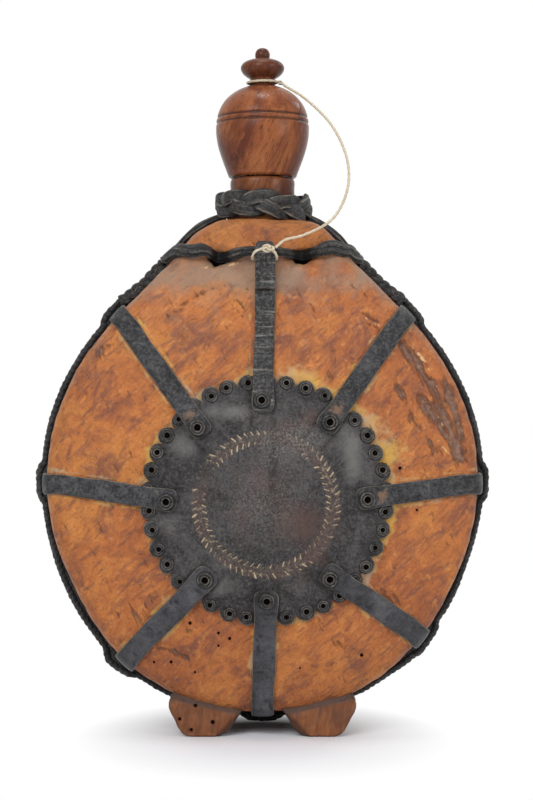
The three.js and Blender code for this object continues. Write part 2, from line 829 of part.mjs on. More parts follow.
// Thong from under the collar down the shoulder to the shoulder thong
function makeNeckThong(hand) {
  const down = radians(-62);
  const a = collarThickness / 2;
  const b = collarHeight / 2;
  const normal = new THREE.Vector3(hand * (Math.cos(down) / a), 0, Math.sin(down) / b).normalize();
  const edge = new THREE.Vector3(
    hand * (collarMiddle + a * Math.cos(down)),
    0,
    collarZ + b * Math.sin(down),
  );
  const start = edge.clone().addScaledVector(normal, gap + neckThongRadius * 0.2);
  const upper = overRim(90 - hand * thongAngle * 0.6, 0, 4 * gap + neckThongRadius);
  const lower = overRim(90 - hand * thongAngle * 0.75, 0, 2.5 * gap + neckThongRadius);
  const hub = overRim(90 - hand * thongAngle, 0, gap + thongRadius);
  const toward = lower.clone().sub(hub).normalize();
  const end = hub.clone().addScaledVector(toward, thongRadius + 1.2 * gap);
  const curve = new THREE.CatmullRomCurve3([start, upper, lower, end]);
  return cord(curve, neckThongRadius, neckThongRadius, 8, 9);
}

// Twine

// Turn of twine through the fold of the front top strap, with the knot in front of it
function makeHitch() {
  const back = (gap + strapThickness + flapHeight(hitchBelow) - strapThickness / 2) / 2;
  const front = (rise) => flapHeight(hitchBelow - rise) + strapThickness / 2 + gap + twineRadius;
  const side = strapWidth / 2 + gap + twineRadius;
  const at = (x, height, rise = 0) => {
    const { place, normal } = frameBelow(hitchBelow - rise, -1);
    return place.clone().addScaledVector(normal, height).add(new THREE.Vector3(x, 0, 0));
  };
  const inset = 2 * twineRadius;
  const edgeRise = knotRise * 0.2;
  const sideRise = knotRise * 0.6;
  const right = [
    at(side - inset, back),
    at(side + gap, back + inset),
    at(side + gap, front(edgeRise) - inset, edgeRise),
    at(side - inset, front(sideRise) + gap, sideRise),
  ];
  const left = [
    at(inset - side, front(sideRise) + gap, sideRise),
    at(-side - gap, front(edgeRise) - inset, edgeRise),
    at(-side - gap, back + inset),
    at(inset - side, back),
  ];
  const middle = at(0, front(knotRise) + gap, knotRise);
  const loop = new THREE.CatmullRomCurve3([at(0, back), ...right, middle, ...left], true);
  const turn = cord(loop, twineRadius, twineRadius, 6, 32);
  const knot = new THREE.SphereGeometry(1, 12, 8);
  knot.scale(knotRadii.x, knotRadii.y, knotRadii.z);
  const place = knotPlace();
  knot.translate(place.x, place.y, place.z);
  return toGeometry(toSolid(turn).add(toSolid(knot)));
}

function knotPlace() {
  const frame = frameBelow(hitchBelow - knotRise, -1);
  const height = flapHeight(hitchBelow - knotRise - knotRadii.z) + strapThickness / 2 + gap + knotRadii.y;
  const place = frame.place.clone().addScaledVector(frame.normal, height);
  return place.add(new THREE.Vector3(knotSide, 0, 0));
}

// Free run of twine from the knot to the loop on the finial
function makeString() {
  const knot = knotPlace();
  const start = knot.clone().add(new THREE.Vector3(knotRadii.x + gap, 0, knotRadii.z * 0.2));
  const end = new THREE.Vector3(loopRadius + 2 * twineRadius + gap, -twineRadius, loopZ);
  const between = stringBow.map(([share, sideways, backward]) =>
    start.clone().lerp(end, share).add(new THREE.Vector3(sideways, backward, 0)),
  );
  const curve = new THREE.CatmullRomCurve3([start, ...between, end]);
  return cord(curve, twineRadius, twineRadius, 8, 42);
}

const flask = new THREE.Group();
flask.name = "flask";

function add(name, geometry, material) {
  const mesh = new THREE.Mesh(geometry, material);
  mesh.name = name;
  flask.add(mesh);
}

add("flask_body", makeBody(), wood);
add("closing_disc", makeClosingDisc(), wood);
add("disc_seal", makeDiscSeal(), wax);
add("mouthpiece", makeMouthpiece(), darkWood);
const sealBottom = neckTop + gap;
const sealSection = ring(neckBoreRadius, flangeRadius - gap, sealBottom, sealBottom + sealThickness);
add("mouthpiece_seal", turned(sealSection, 28), paleLeather);
add("cap", makeCap(), darkWood);
const capSealBottom = lipTop + gap;
const capSeal = cylinder(capBoreRadius - gap, capSealBottom, capSealBottom + capSealThickness, 24);
add("cap_seal", capSeal, paleLeather);

for (const strap of straps) add(`strap_${strap.name}`, makeStrap(strap), leather);
for (const [face, side] of [["front", -1], ["back", 1]]) {
  add(`${face}_medallion`, makeMedallion(side), leather);
  add(`${face}_top_strap`, makeTopStrap(side), leather);
  add(`${face}_rosette_top`, makeRosette(topRosette, side), leather);
  for (const strap of straps) {
    add(`${face}_rosette_${strap.name}`, makeRosette(strap.rosette, side), leather);
  }
}
add("rim_cord", makeRimCord(), leather);
add("shoulder_braid_left", makeBraid(-1), leather);
add("shoulder_braid_right", makeBraid(1), leather);
add("shoulder_thong", makeThong(), leather);
add("neck_collar", makeCollar(), leather);
add("neck_thong_left", makeNeckThong(-1), leather);
add("neck_thong_right", makeNeckThong(1), leather);

const loop = new THREE.TorusGeometry(loopRadius, twineRadius, 6, 28);
loop.translate(0, 0, loopZ);
add("tether_loop", loop, twine);
add("tether_string", makeString(), twine);
add("tether_hitch", makeHitch(), twine);

export default flask;
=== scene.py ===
import bpy
import numpy as np
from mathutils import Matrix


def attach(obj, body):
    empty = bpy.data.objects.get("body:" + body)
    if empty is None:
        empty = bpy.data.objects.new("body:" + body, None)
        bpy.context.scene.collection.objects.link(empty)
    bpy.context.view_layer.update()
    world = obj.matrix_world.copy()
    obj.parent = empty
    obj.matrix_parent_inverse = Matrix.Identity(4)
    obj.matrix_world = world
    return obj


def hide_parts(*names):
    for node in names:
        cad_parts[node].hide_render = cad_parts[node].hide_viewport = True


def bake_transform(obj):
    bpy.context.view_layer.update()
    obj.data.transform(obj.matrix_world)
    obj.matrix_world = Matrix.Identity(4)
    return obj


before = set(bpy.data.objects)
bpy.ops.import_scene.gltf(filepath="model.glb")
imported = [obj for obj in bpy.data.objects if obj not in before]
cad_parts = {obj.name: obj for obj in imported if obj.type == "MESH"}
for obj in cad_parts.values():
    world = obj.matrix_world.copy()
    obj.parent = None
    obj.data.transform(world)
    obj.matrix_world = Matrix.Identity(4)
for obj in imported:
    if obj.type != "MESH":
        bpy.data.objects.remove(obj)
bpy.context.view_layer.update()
scene = bpy.context.scene
scene.view_settings.view_transform = "Standard"
mm = 0.001
rad = np.radians

# Camera: level, at the photo's distance. Lengths here are millimetres, made metres when a mesh is written.
view = {"distance": 930.0, "height": 149.4, "lens": 85.68, "shift": (0.005, 0.025), "focus": 1904.0,
        "middle": (262.5, 420.0)}
camData = bpy.data.cameras.new("photoCamera")
camData.lens, camData.sensor_width = view["lens"], 36.0
camData.shift_x, camData.shift_y = view["shift"]
camData.clip_start, camData.clip_end = 0.05, 20.0
camera = bpy.data.objects.new("photoCamera", camData)
camera.location = (0, -view["distance"] * mm, view["height"] * mm)
camera.rotation_euler = (np.pi / 2, 0, 0)
scene.collection.objects.link(camera)
scene.camera = camera
print("camera set")


# Meshes from grids of points

# Faces of a grid: each cell is a quad, and a wrapped side joins its last line to its first.
# Open rows end in fans round the mean of the first and last row. The enclosed volume turns faces outward.
def gridPart(p, marks=None, size=(1.0, 1.0), wrapRows=False, wrapCols=True):
    rows, cols = p.shape[:2]
    cells = np.array([rows if wrapRows else rows - 1, cols if wrapCols else cols - 1])
    r, c = (v.ravel() for v in np.meshgrid(np.arange(cells[0]), np.arange(cells[1]), indexing="ij"))
    corner = np.stack([np.stack([r + i, c + j], 1) for i, j in ((0, 0), (0, 1), (1, 1), (1, 0))], 1)
    quads = (corner[..., 0] % rows) * cols + corner[..., 1] % cols
    quadUv = corner[..., ::-1] / cells[::-1] * np.array(size)
    points = p.reshape(-1, 3)
    fields = {k: np.broadcast_to(v, (rows, cols)).ravel().astype(float) for k, v in (marks or {}).items()}
    tris, triUv = np.zeros((0, 3), int), np.zeros((0, 3, 2))
    if wrapCols and not wrapRows:
        n, ring = len(points), np.arange(cols)
        points = np.vstack([points, p[0].mean(0), p[-1].mean(0)])
        fields = {k: np.append(v, [v[:cols].mean(), v[-cols:].mean()]) for k, v in fields.items()}
        last = (rows - 1) * cols
        tris = np.vstack([np.stack([np.full(cols, n), (ring + 1) % cols, ring], 1),
                          np.stack([np.full(cols, n + 1), last + ring, last + (ring + 1) % cols], 1)])
        u = ring / cols * size[0]
        triUv = np.stack([np.tile(u, 2), np.repeat([0.0, size[1]], cols)], 1)[:, None].repeat(3, 1)
    middle = points - points.mean(0)
    volume = lambda f: (middle[f[:, 0]] * np.cross(middle[f[:, 1]], middle[f[:, 2]])).sum()
    if volume(quads[:, [0, 1, 2]]) + volume(quads[:, [0, 2, 3]]) + volume(tris) < 0:
        quads, quadUv, tris, triUv = quads[:, ::-1], quadUv[:, ::-1], tris[:, ::-1], triUv[:, ::-1]
    return {"points": points, "quads": quads, "quadUv": quadUv, "tris": tris, "triUv": triUv,
            "marks": fields}


# Several grid parts become one object, placed by its mesh alone
def makePiece(name, parts, finish, body=None, stands=()):
    base = np.cumsum([0] + [len(q["points"]) for q in parts])[:-1]
    points = np.vstack([q["points"] for q in parts]) * mm
    quads = np.vstack([q["quads"] + b for q, b in zip(parts, base)])
    tris = np.vstack([q["tris"] + b for q, b in zip(parts, base)])
    mesh = bpy.data.meshes.new(name)
    mesh.vertices.add(len(points))
    mesh.vertices.foreach_set("co", points.astype(np.float32).ravel())
    corners = np.concatenate([quads.ravel(), tris.ravel()]).astype(np.int32)
    mesh.loops.add(len(corners))
    mesh.loops.foreach_set("vertex_index", corners)
    starts = np.concatenate([np.arange(len(quads)) * 4, len(quads) * 4 + np.arange(len(tris)) * 3])
    mesh.polygons.add(len(starts))
    mesh.polygons.foreach_set("loop_start", starts.astype(np.int32))
    uv = np.concatenate([np.vstack([q[key] for q in parts]).reshape(-1, 2) for key in ("quadUv", "triUv")])
    mesh.uv_layers.new(name="UVMap").data.foreach_set("uv", uv.astype(np.float32).ravel())
    for key in parts[0]["marks"]:
        field = np.concatenate([q["marks"][key] for q in parts])
        mesh.attributes.new(key, "FLOAT", "POINT").data.foreach_set("value", field.astype(np.float32))
    mesh.polygons.foreach_set("use_smooth", np.ones(len(starts), bool))
    mesh.update(calc_edges=True)
    mesh.validate()
    piece = bpy.data.objects.new(name, mesh)
    scene.collection.objects.link(piece)
    mesh.materials.append(finish)
    if body:
        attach(piece, body)
    if stands:
        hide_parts(*stands)
    return piece


def leatherPiece(name, parts, finish, *stands):
    return makePiece(name, parts, finish, "flask", stands)


# Smooth unevenness of about -1 to 1: a seeded sum of sine waves of one size in many directions
def uneven(p, size, seed, waves=10):
    dice = np.random.default_rng(seed)
    k = dice.normal(size=(waves, 3))
    k *= 2 * np.pi / size * dice.uniform(0.7, 1.5, (waves, 1)) / np.linalg.norm(k, axis=1, keepdims=True)
    return np.sin(p @ k.T + dice.uniform(0, 2 * np.pi, waves)).sum(-1) * 0.8 / np.sqrt(waves)


def unit(v):
    return v / np.maximum(np.linalg.norm(v, axis=-1, keepdims=True), 1e-9)


# Smooth step from 0 at low to 1 at high
def ease(x, low, high):
    t = np.clip((np.asarray(x, float) - low) / (high - low), 0, 1)
    return t * t * (3 - 2 * t)


# Bell curve of a distance; a higher even power flattens its top
def bell(away, wide, power=2):
    return np.exp(-((away / wide) ** power))


def circle(count):
    return np.linspace(0, 2 * np.pi, count, endpoint=False)


# Length along a path at each of its points
def runOf(path):
    return np.append(0, np.cumsum(np.linalg.norm(np.diff(path, axis=0), axis=1)))


# Centripetal Catmull-Rom curve through the points, then evenly spaced along its length
def smoothPath(points, count, loop=False):
    p = np.asarray(points, float)
    p = np.vstack([p[-1:], p, p[:2]]) if loop else np.vstack([2 * p[:1] - p[1:2], p, 2 * p[-1:] - p[-2:-1]])
    a, b, c, d = p[:-3], p[1:-2], p[2:-1], p[3:]
    knot = lambda u, v: np.maximum(((u - v) ** 2).sum(1), 1e-8)[:, None] ** 0.25
    d0, d1, d2 = knot(a, b), knot(b, c), knot(c, d)
    t1 = ((b - a) / d0 - (c - a) / (d0 + d1) + (c - b) / d1) * d1
    t2 = ((c - b) / d1 - (d - b) / (d1 + d2) + (d - c) / d2) * d1
    s = np.linspace(0, 1, 40, endpoint=False)[:, None, None]
    fine = ((2 * s**3 - 3 * s**2 + 1) * b + (s**3 - 2 * s**2 + s) * t1 + (3 * s**2 - 2 * s**3) * c
            + (s**3 - s**2) * t2)
    fine = np.vstack([fine.transpose(1, 0, 2).reshape(-1, 3), p[1:2] if loop else p[-2:-1]])
    run = runOf(fine)
    at = np.linspace(0, run[-1], count, endpoint=not loop)
    return np.stack([np.interp(at, run, fine[:, i]) for i in range(3)], 1)


# Direction of a path at each of its points
def headings(path, loop=False):
    return unit(np.roll(path, -1, 0) - np.roll(path, 1, 0) if loop else np.gradient(path, axis=0))


# Oval section carried along a path: out is the outward direction, lean turns the oval about the path,
# swell is a factor on each ring point
def tubePoints(path, out, wide, thick, sides, lean=0.0, loop=False, swell=1.0):
    head = headings(path, loop)
    side = unit(np.cross(head, out))
    up = np.cross(side, head)
    a = circle(sides)
    wide, thick, twist = (np.broadcast_to(np.asarray(v, float).reshape(-1, 1), (len(path), 1))
                          for v in (wide, thick, lean))
    x, y = wide * np.cos(a) * swell, thick * np.sin(a) * swell
    across, over = x * np.cos(twist) - y * np.sin(twist), x * np.sin(twist) + y * np.cos(twist)
    return path[:, None] + across[..., None] * side[:, None] + over[..., None] * up[:, None]


# Plait of three: strand k swings sideways by swing * sin(w + 120 k), in and out by dip * sin 2(w + 120 k)
# Creases are pale lines along the strands' sides, and painted shade darkens what lies deep between them.
def plaitParts(path, out, swing, dip, wide, thick, period, sides=10, loop=False, phase=0.0, seed=1,
               crease=0.0, top=0.55, fibres=4.0, flat=1.0):
    head = headings(path, loop)
    side = unit(np.cross(head, out))
    up = np.cross(side, head)
    step = np.linalg.norm(np.roll(path, -1, 0) - path, axis=1)
    run = np.append(0, np.cumsum(step[:-1]))
    total = step.sum() if loop else run[-1]
    w = 2 * np.pi * run / (total / max(1, round(total / period)))
    a = circle(sides)
    boxy = (np.abs(np.cos(a)) ** (2 / flat) + np.abs(np.sin(a)) ** (2 / flat)) ** (-flat / 2)
    parts = []
    for k in range(3):
        turn = w + k * 2 * np.pi / 3 + phase
        strand = path + (swing * np.sin(turn))[:, None] * side + (dip * np.sin(2 * turn))[:, None] * up
        ridge = boxy * (1 + 0.05 * np.cos(3 * a + k) + 0.04 * np.sin(7 * a + 0.15 * run[:, None] + k))
        worn = 1 + 0.07 * uneven(strand, 9, seed + k)[:, None]
        p = tubePoints(strand, up, wide, thick, sides, 0.10 * uneven(strand, 14, seed + 5 + k), loop,
                       ridge * worn)
        high = ((p - path[:, None]) * up[:, None]).sum(-1) / (dip + thick)
        corner = np.abs(np.cos(a)) - (0.97 - 0.42 * (1 - flat))
        line = crease * bell(corner, 0.09) * (0.8 + 0.5 * uneven(p, 8, seed + 9))
        marks = {"edge": np.clip(top * ease(high, 0.5, 1.0) + line, 0, 1),
                 "hole": 0.9 * (1 - ease(high, -0.35, 0.25))}
        parts.append(gridPart(p, marks, (fibres, total / period * 2), loop))
    return parts


# Nodes

def newFinish(name):
    finish = bpy.data.materials.new(name)
    finish.use_nodes = True
    return finish, finish.node_tree, finish.node_tree.nodes["Principled BSDF"]


def put(tree, kind, sockets=None, **settings):
    n = tree.nodes.new("ShaderNode" + kind)
    for key, value in settings.items():
        setattr(n, key, value)
    for key, value in (sockets or {}).items():
        if isinstance(value, bpy.types.NodeSocket):
            tree.links.new(value, n.inputs[key])
        else:
            n.inputs[key].default_value = value
    return n


def objectAt(tree):
    return put(tree, "TexCoord").outputs["Object"]


def tone(r, g, b):
    return (r, g, b, 1.0)


def blendTone(tree, share, a, b):
    return put(tree, "Mix", {0: share, 6: a, 7: b}, data_type="RGBA", blend_type="MIX").outputs[2]


def cloud(tree, at, scale, detail=5.0, rough=0.55, warp=0.0):
    return put(tree, "TexNoise", {"Vector": at, "Scale": scale, "Detail": detail, "Roughness": rough,
                                  "Distortion": warp}).outputs[0]


def spread(tree, value, low, high, to0=0.0, to1=1.0):
    return put(tree, "MapRange", {0: value, 1: low, 2: high, 3: to0, 4: to1}).outputs[0]


# Stains over a colour, one after another: value, where none shows, where most shows, how much, tone
def stained(tree, colour, *stains):
    for value, low, high, most, *stain in stains:
        colour = blendTone(tree, spread(tree, value, low, high, 0, most), colour, tone(*stain))
    return colour


def math(tree, op, a, b):
    return put(tree, "Math", {0: a, 1: b}, operation=op, use_clamp=False).outputs[0]


# Turned first, then stretched: scale is how often the pattern repeats along each turned axis
def laid(tree, at, scale, turn=(0, 0, 0)):
    stretch = tuple(1 / v for v in scale)
    return put(tree, "Mapping", {"Vector": at, "Scale": stretch, "Rotation": turn},
               vector_type="TEXTURE").outputs[0]


def mark(tree, name):
    return put(tree, "Attribute", attribute_name=name).outputs["Fac"]


def ramp(tree, value, stops):
    n = put(tree, "ValToRGB", {0: value})
    while len(n.color_ramp.elements) < len(stops):
        n.color_ramp.elements.new(0.5)
    for e, (place, *colour) in zip(n.color_ramp.elements, stops):
        e.position, e.color = place, tone(*colour)
    return n.outputs[0]


# Sum of values, each times its share
def weighed(tree, *terms):
    total = 0.0
    for value, share in terms:
        total = math(tree, "ADD", total, math(tree, "MULTIPLY", value, share))
    return total


# What the camera, a mirror or glass sees
def seenRay(tree):
    ray = put(tree, "LightPath").outputs
    eye = math(tree, "MAXIMUM", ray["Is Camera Ray"], ray["Is Glossy Ray"])
    return math(tree, "MAXIMUM", eye, ray["Is Transmission Ray"])


# Rough is a number set on the socket, or a pattern linked to it
def paint(tree, shader, colour, rough, gloss=0.5):
    tree.links.new(colour, shader.inputs["Base Color"])
    shader.inputs["Specular IOR Level"].default_value = gloss
    if isinstance(rough, float):
        shader.inputs["Roughness"].default_value = rough
    else:
        tree.links.new(rough, shader.inputs["Roughness"])


def bumped(tree, shader, height, depth, strength=1.0):
    n = put(tree, "Bump", {"Strength": strength, "Distance": depth, "Height": height})
    tree.links.new(n.outputs[0], shader.inputs["Normal"])


# A mark with a ragged edge: the field is shifted by noise, then cut at a level
def ragged(tree, name, noise, shift, low, high, most=1.0):
    moved = math(tree, "ADD", mark(tree, name), spread(tree, noise, 0.3, 0.7, -shift, shift))
    return spread(tree, moved, low, high, 0, most)


# Worn waxed wood of the body: patches, blotches, flecks and slanting fibres.
# Marks then give the ochre rings, dust and torn scars, and painted shade in the pits, the hollows and round
# the neck, towards the bottom and at the left, with darker wood towards the neck.
def makeBodyWood():
    finish, tree, shader = newFinish("wornBodyWood")
    at = objectAt(tree)
    slant = (0, -0.7, 0)
    patch = cloud(tree, at, 21, 7, 0.60, 0.9)
    blotch = cloud(tree, laid(tree, at, (46, 60, 78), slant), 1.0, 7, 0.64, 0.8)
    fleck = cloud(tree, at, 150, 6, 0.68, 0.4)
    fibre = cloud(tree, laid(tree, at, (60, 330, 360), slant), 1.0, 6, 0.66, 0.5)
    hair = cloud(tree, laid(tree, at, (150, 800, 900), (0, -0.95, 0)), 1.0, 5, 0.7, 0.4)
    crack = cloud(tree, laid(tree, at, (34, 200, 240), (0, -0.45, 0)), 1.0, 8, 0.72, 1.2)
    speck = cloud(tree, at, 700, 4, 0.66)
    colour = ramp(tree, patch, [(0.30, 0.30, 0.084, 0.029), (0.44, 0.41, 0.125, 0.036),
                                (0.56, 0.51, 0.168, 0.042), (0.72, 0.59, 0.226, 0.053)])
    colour = stained(tree, colour,
        (blotch, 0.51, 0.63, 0.78, 0.185, 0.064, 0.042), (blotch, 0.45, 0.32, 0.55, 0.61, 0.25, 0.060),
        (fleck, 0.52, 0.68, 0.50, 0.20, 0.070, 0.041), (fleck, 0.45, 0.32, 0.60, 0.70, 0.287, 0.080),
        (fibre, 0.54, 0.65, 0.70, 0.17, 0.066, 0.046), (crack, 0.65, 0.73, 0.60, 0.125, 0.056, 0.046),
        (hair, 0.54, 0.68, 0.34, 0.20, 0.075, 0.046), (hair, 0.46, 0.34, 0.22, 0.68, 0.295, 0.092),
        (speck, 0.55, 0.70, 0.50, 0.13, 0.055, 0.036), (speck, 0.45, 0.34, 0.14, 0.70, 0.33, 0.10))
    rag = cloud(tree, at, 105, 6, 0.68)
    halo = ragged(tree, "halo", rag, 0.55, 0.42, 0.80, 0.72)
    haloTone = ramp(tree, cloud(tree, at, 44, 5, 0.6),
                    [(0.38, 0.66, 0.40, 0.085), (0.50, 0.60, 0.39, 0.15), (0.62, 0.47, 0.37, 0.25)])
    colour = blendTone(tree, halo, colour, haloTone)
    dust = ragged(tree, "dust", rag, 0.30, 0.25, 0.95, 0.75)
    colour = blendTone(tree, dust, colour, tone(0.305, 0.218, 0.155))
    torn = cloud(tree, laid(tree, at, (75, 260, 430), (0, 1.1, 0)), 1.0, 8, 0.74, 0.3)
    scar = ragged(tree, "scar", torn, 0.62, 0.36, 0.78, 0.88)
    scarTone = ramp(tree, cloud(tree, at, 420, 4, 0.7),
                    [(0.36, 0.092, 0.054, 0.042), (0.50, 0.175, 0.100, 0.073), (0.66, 0.27, 0.165, 0.12)])
    colour = blendTone(tree, scar, colour, scarTone)
    pale = ragged(tree, "pale", cloud(tree, at, 420, 5, 0.7), 0.75, 0.62, 0.95, 0.8)
    colour = blendTone(tree, pale, colour, tone(0.74, 0.49, 0.26))
    # Painted shade in pits, hollows and corners, towards the bottom and the left, and darker wood near the
    # neck, by mark
    colour = blendTone(tree, mark(tree, "darkAndShade"), colour, tone(0.030, 0.016, 0.011))
    paint(tree, shader, colour, spread(tree, fleck, 0.3, 0.7, 0.36, 0.60), 0.24)
    height = weighed(tree, (fibre, 0.7), (fleck, 0.9), (blotch, 0.9), (scar, -0.7), (hair, 0.35),
                     (spread(tree, crack, 0.64, 0.74), -0.5))
    bumped(tree, shader, height, 0.0011, 0.9)
    return finish


# Cut wood of the feet: upright grain streaks, with painted shade in the corners by mark
def makeFootWood():
    finish, tree, shader = newFinish("cutFootWood")
    at = objectAt(tree)
    streak = cloud(tree, laid(tree, at, (330, 330, 46), (0, 0.16, 0)), 1.0, 8, 0.70, 0.8)
    patch = cloud(tree, at, 62, 6, 0.62, 0.5)
    colour = ramp(tree, streak, [(0.30, 0.095, 0.031, 0.013), (0.46, 0.168, 0.057, 0.021),
                                 (0.60, 0.240, 0.086, 0.028), (0.78, 0.34, 0.135, 0.044)])
    colour = stained(tree, colour, (patch, 0.50, 0.68, 0.6, 0.105, 0.046, 0.030))
    colour = blendTone(tree, mark(tree, "darkAndShade"), colour, tone(0.035, 0.017, 0.011))
    paint(tree, shader, colour, spread(tree, streak, 0.3, 0.7, 0.38, 0.58), 0.3)
    bumped(tree, shader, weighed(tree, (streak, 1.0), (patch, 0.6)), 0.0006, 0.7)
    return finish


# Polished turned wood of the cap and mouthpiece: bands of figure, slanting fibres, pores, and by mark
# painted shade in grooves, hollows and bores, and darker parts
def makeTurnedWood():
    finish, tree, shader = newFinish("polishedTurnedWood")
    at = objectAt(tree)
    figure = cloud(tree, laid(tree, at, (46, 46, 15), (0.1, 0.25, 0)), 1.0, 5, 0.55, 1.0)
    streak = cloud(tree, laid(tree, at, (420, 420, 60), (0.15, 0.45, 0)), 1.0, 6, 0.66, 0.5)
    pore = cloud(tree, laid(tree, at, (1500, 1500, 190), (0.15, 0.45, 0)), 1.0, 3, 0.5)
    colour = ramp(tree, figure, [(0.32, 0.075, 0.019, 0.010), (0.45, 0.140, 0.037, 0.016),
                                 (0.56, 0.235, 0.069, 0.025), (0.72, 0.35, 0.120, 0.040)])
    colour = stained(tree, colour,
        (streak, 0.51, 0.66, 0.72, 0.085, 0.024, 0.012), (streak, 0.45, 0.32, 0.52, 0.42, 0.155, 0.055),
        (pore, 0.56, 0.70, 0.75, 0.055, 0.017, 0.009))
    colour = blendTone(tree, mark(tree, "darkAndShade"), colour, tone(0.018, 0.007, 0.004))
    paint(tree, shader, colour, spread(tree, streak, 0.3, 0.7, 0.22, 0.34), 0.18)
    bumped(tree, shader, weighed(tree, (streak, 1.0), (pore, 0.5)), 0.00014, 0.6)
    return finish


# Old black leather: dusty patches, grain and creases. Marks give rubbed edges, gold stamping, and painted
# shade in holes, folds and between strands.
# Drawn is how often streaks repeat round and along the piece's own UV.
def makeLeather(look):
    finish, tree, shader = newFinish(look["name"])
    coords = put(tree, "TexCoord")
    at = coords.outputs["Object"]
    patch = cloud(tree, at, look["patch"], 7, 0.62, 0.9)
    fleck = cloud(tree, at, 330, 6, 0.72)
    speck = cloud(tree, at, 820, 5, 0.72)
    r, g, b = look["tint"]
    colour = ramp(tree, patch, [(0.30, r * 0.40, g * 0.40, b * 0.40), (0.45, r * 0.8, g * 0.8, b * 0.8),
                                (0.58, r * 1.4, g * 1.4, b * 1.4), (0.74, r * 2.5, g * 2.4, b * 2.2)])
    colour = stained(tree, colour,
        (fleck, 0.51, 0.70, look["dusty"], 0.142, 0.134, 0.124),
        (fleck, 0.46, 0.31, look["deep"], 0.008, 0.008, 0.008),
        (speck, 0.50, 0.64, 1.15 * look["dusty"], 0.137, 0.129, 0.119),
        (speck, 0.47, 0.35, look["deep"], 0.007, 0.007, 0.007))
    relief = [(fleck, 1.0), (speck, 0.5)]
    if "drawn" in look:
        lines = cloud(tree, laid(tree, coords.outputs["UV"], look["drawn"]), 1.0, 6, 0.68, 0.3)
        relief.append((lines, 1.6))
        line = look["line"]
        colour = stained(tree, colour,
            (lines, 0.54, 0.68, look["pale"], line, 0.94 * line, 0.87 * line),
            (lines, 0.46, 0.34, 0.8, 0.006, 0.006, 0.006))
    if "sheen" in look:
        # Medallion: dusty patches with a painted sheen, blended pale
        dustAndSheen = ragged(tree, "dustAndSheen", cloud(tree, at, 70, 6, 0.66), 0.30, 0.20, 1.0, look["sheen"])
        colour = blendTone(tree, dustAndSheen, colour, tone(0.175, 0.170, 0.160))
        rust = ragged(tree, "brown", cloud(tree, at, 90, 6, 0.66), 0.35, 0.25, 0.9, 0.75)
        colour = blendTone(tree, rust, colour, tone(0.088, 0.050, 0.042))
        grainy = math(tree, "MULTIPLY", mark(tree, "grain"),
                      spread(tree, cloud(tree, at, 1150, 4, 0.7), 0.46, 0.62))
        colour = blendTone(tree, grainy, colour, tone(0.21, 0.19, 0.165))
        # Dark wear, with painted shade beside the straps and near the rim
        worn = math(tree, "MULTIPLY", mark(tree, "worn"), spread(tree, fleck, 0.36, 0.58))
        colour = blendTone(tree, worn, colour, tone(0.010, 0.009, 0.009))
    edge = ragged(tree, "edge", cloud(tree, at, 240, 6, 0.7), 0.40, 0.42, 0.80, look["rubbed"])
    colour = blendTone(tree, edge, colour, tone(0.25, 0.215, 0.175))
    tan = ragged(tree, "tan", cloud(tree, at, 210, 6, 0.7), 0.45, 0.45, 0.75, 0.8)
    colour = blendTone(tree, tan, colour, tone(0.22, 0.135, 0.085))
    if "gold" in look:
        gold = ragged(tree, "gold", cloud(tree, at, 560, 4, 0.7), 0.40, 0.30, 0.95, look["gold"])
        colour = blendTone(tree, gold, colour, tone(0.56, 0.44, 0.28))
    # Painted shade: near black in holes, between strands, in folds and under the wood
    colour = blendTone(tree, mark(tree, "hole"), colour, tone(0.003, 0.003, 0.003))
    rough = spread(tree, patch, 0.32, 0.68, look["rough"] + 0.12, look["rough"] - 0.08)
    paint(tree, shader, colour, rough, look["gloss"])
    bumped(tree, shader, weighed(tree, *relief), 0.0006, 0.9)
    return finish


# Twisted cotton twine: plies by the mesh, fibres drawn along the ply by UV
def makeTwine():
    finish, tree, shader = newFinish("creamTwine")
    coords = put(tree, "TexCoord")
    fibre = cloud(tree, laid(tree, coords.outputs["UV"], (9, 3, 1)), 1.0, 4, 0.6)
    stain = cloud(tree, coords.outputs["Object"], 60, 4, 0.6)
    colour = ramp(tree, fibre, [(0.35, 0.42, 0.335, 0.215), (0.52, 0.66, 0.56, 0.40),
                                (0.68, 0.82, 0.74, 0.58)])
    colour = stained(tree, colour, (stain, 0.50, 0.75, 0.5, 0.42, 0.32, 0.19))
    paint(tree, shader, colour, 0.9)
    shader.inputs["Sheen Weight"].default_value = 0.15
    bumped(tree, shader, fibre, 0.00015, 0.7)
    return finish


# Raw pale leather of the washers, and wax of the ring, both hidden at rest
def makePlain(name, light, deep, scale, rough):
    finish, tree, shader = newFinish(name)
    grain = cloud(tree, objectAt(tree), scale, 6, 0.65)
    paint(tree, shader, ramp(tree, grain, [(0.35, *deep), (0.65, *light)]), rough)
    bumped(tree, shader, grain, 0.0003, 0.6)
    return finish


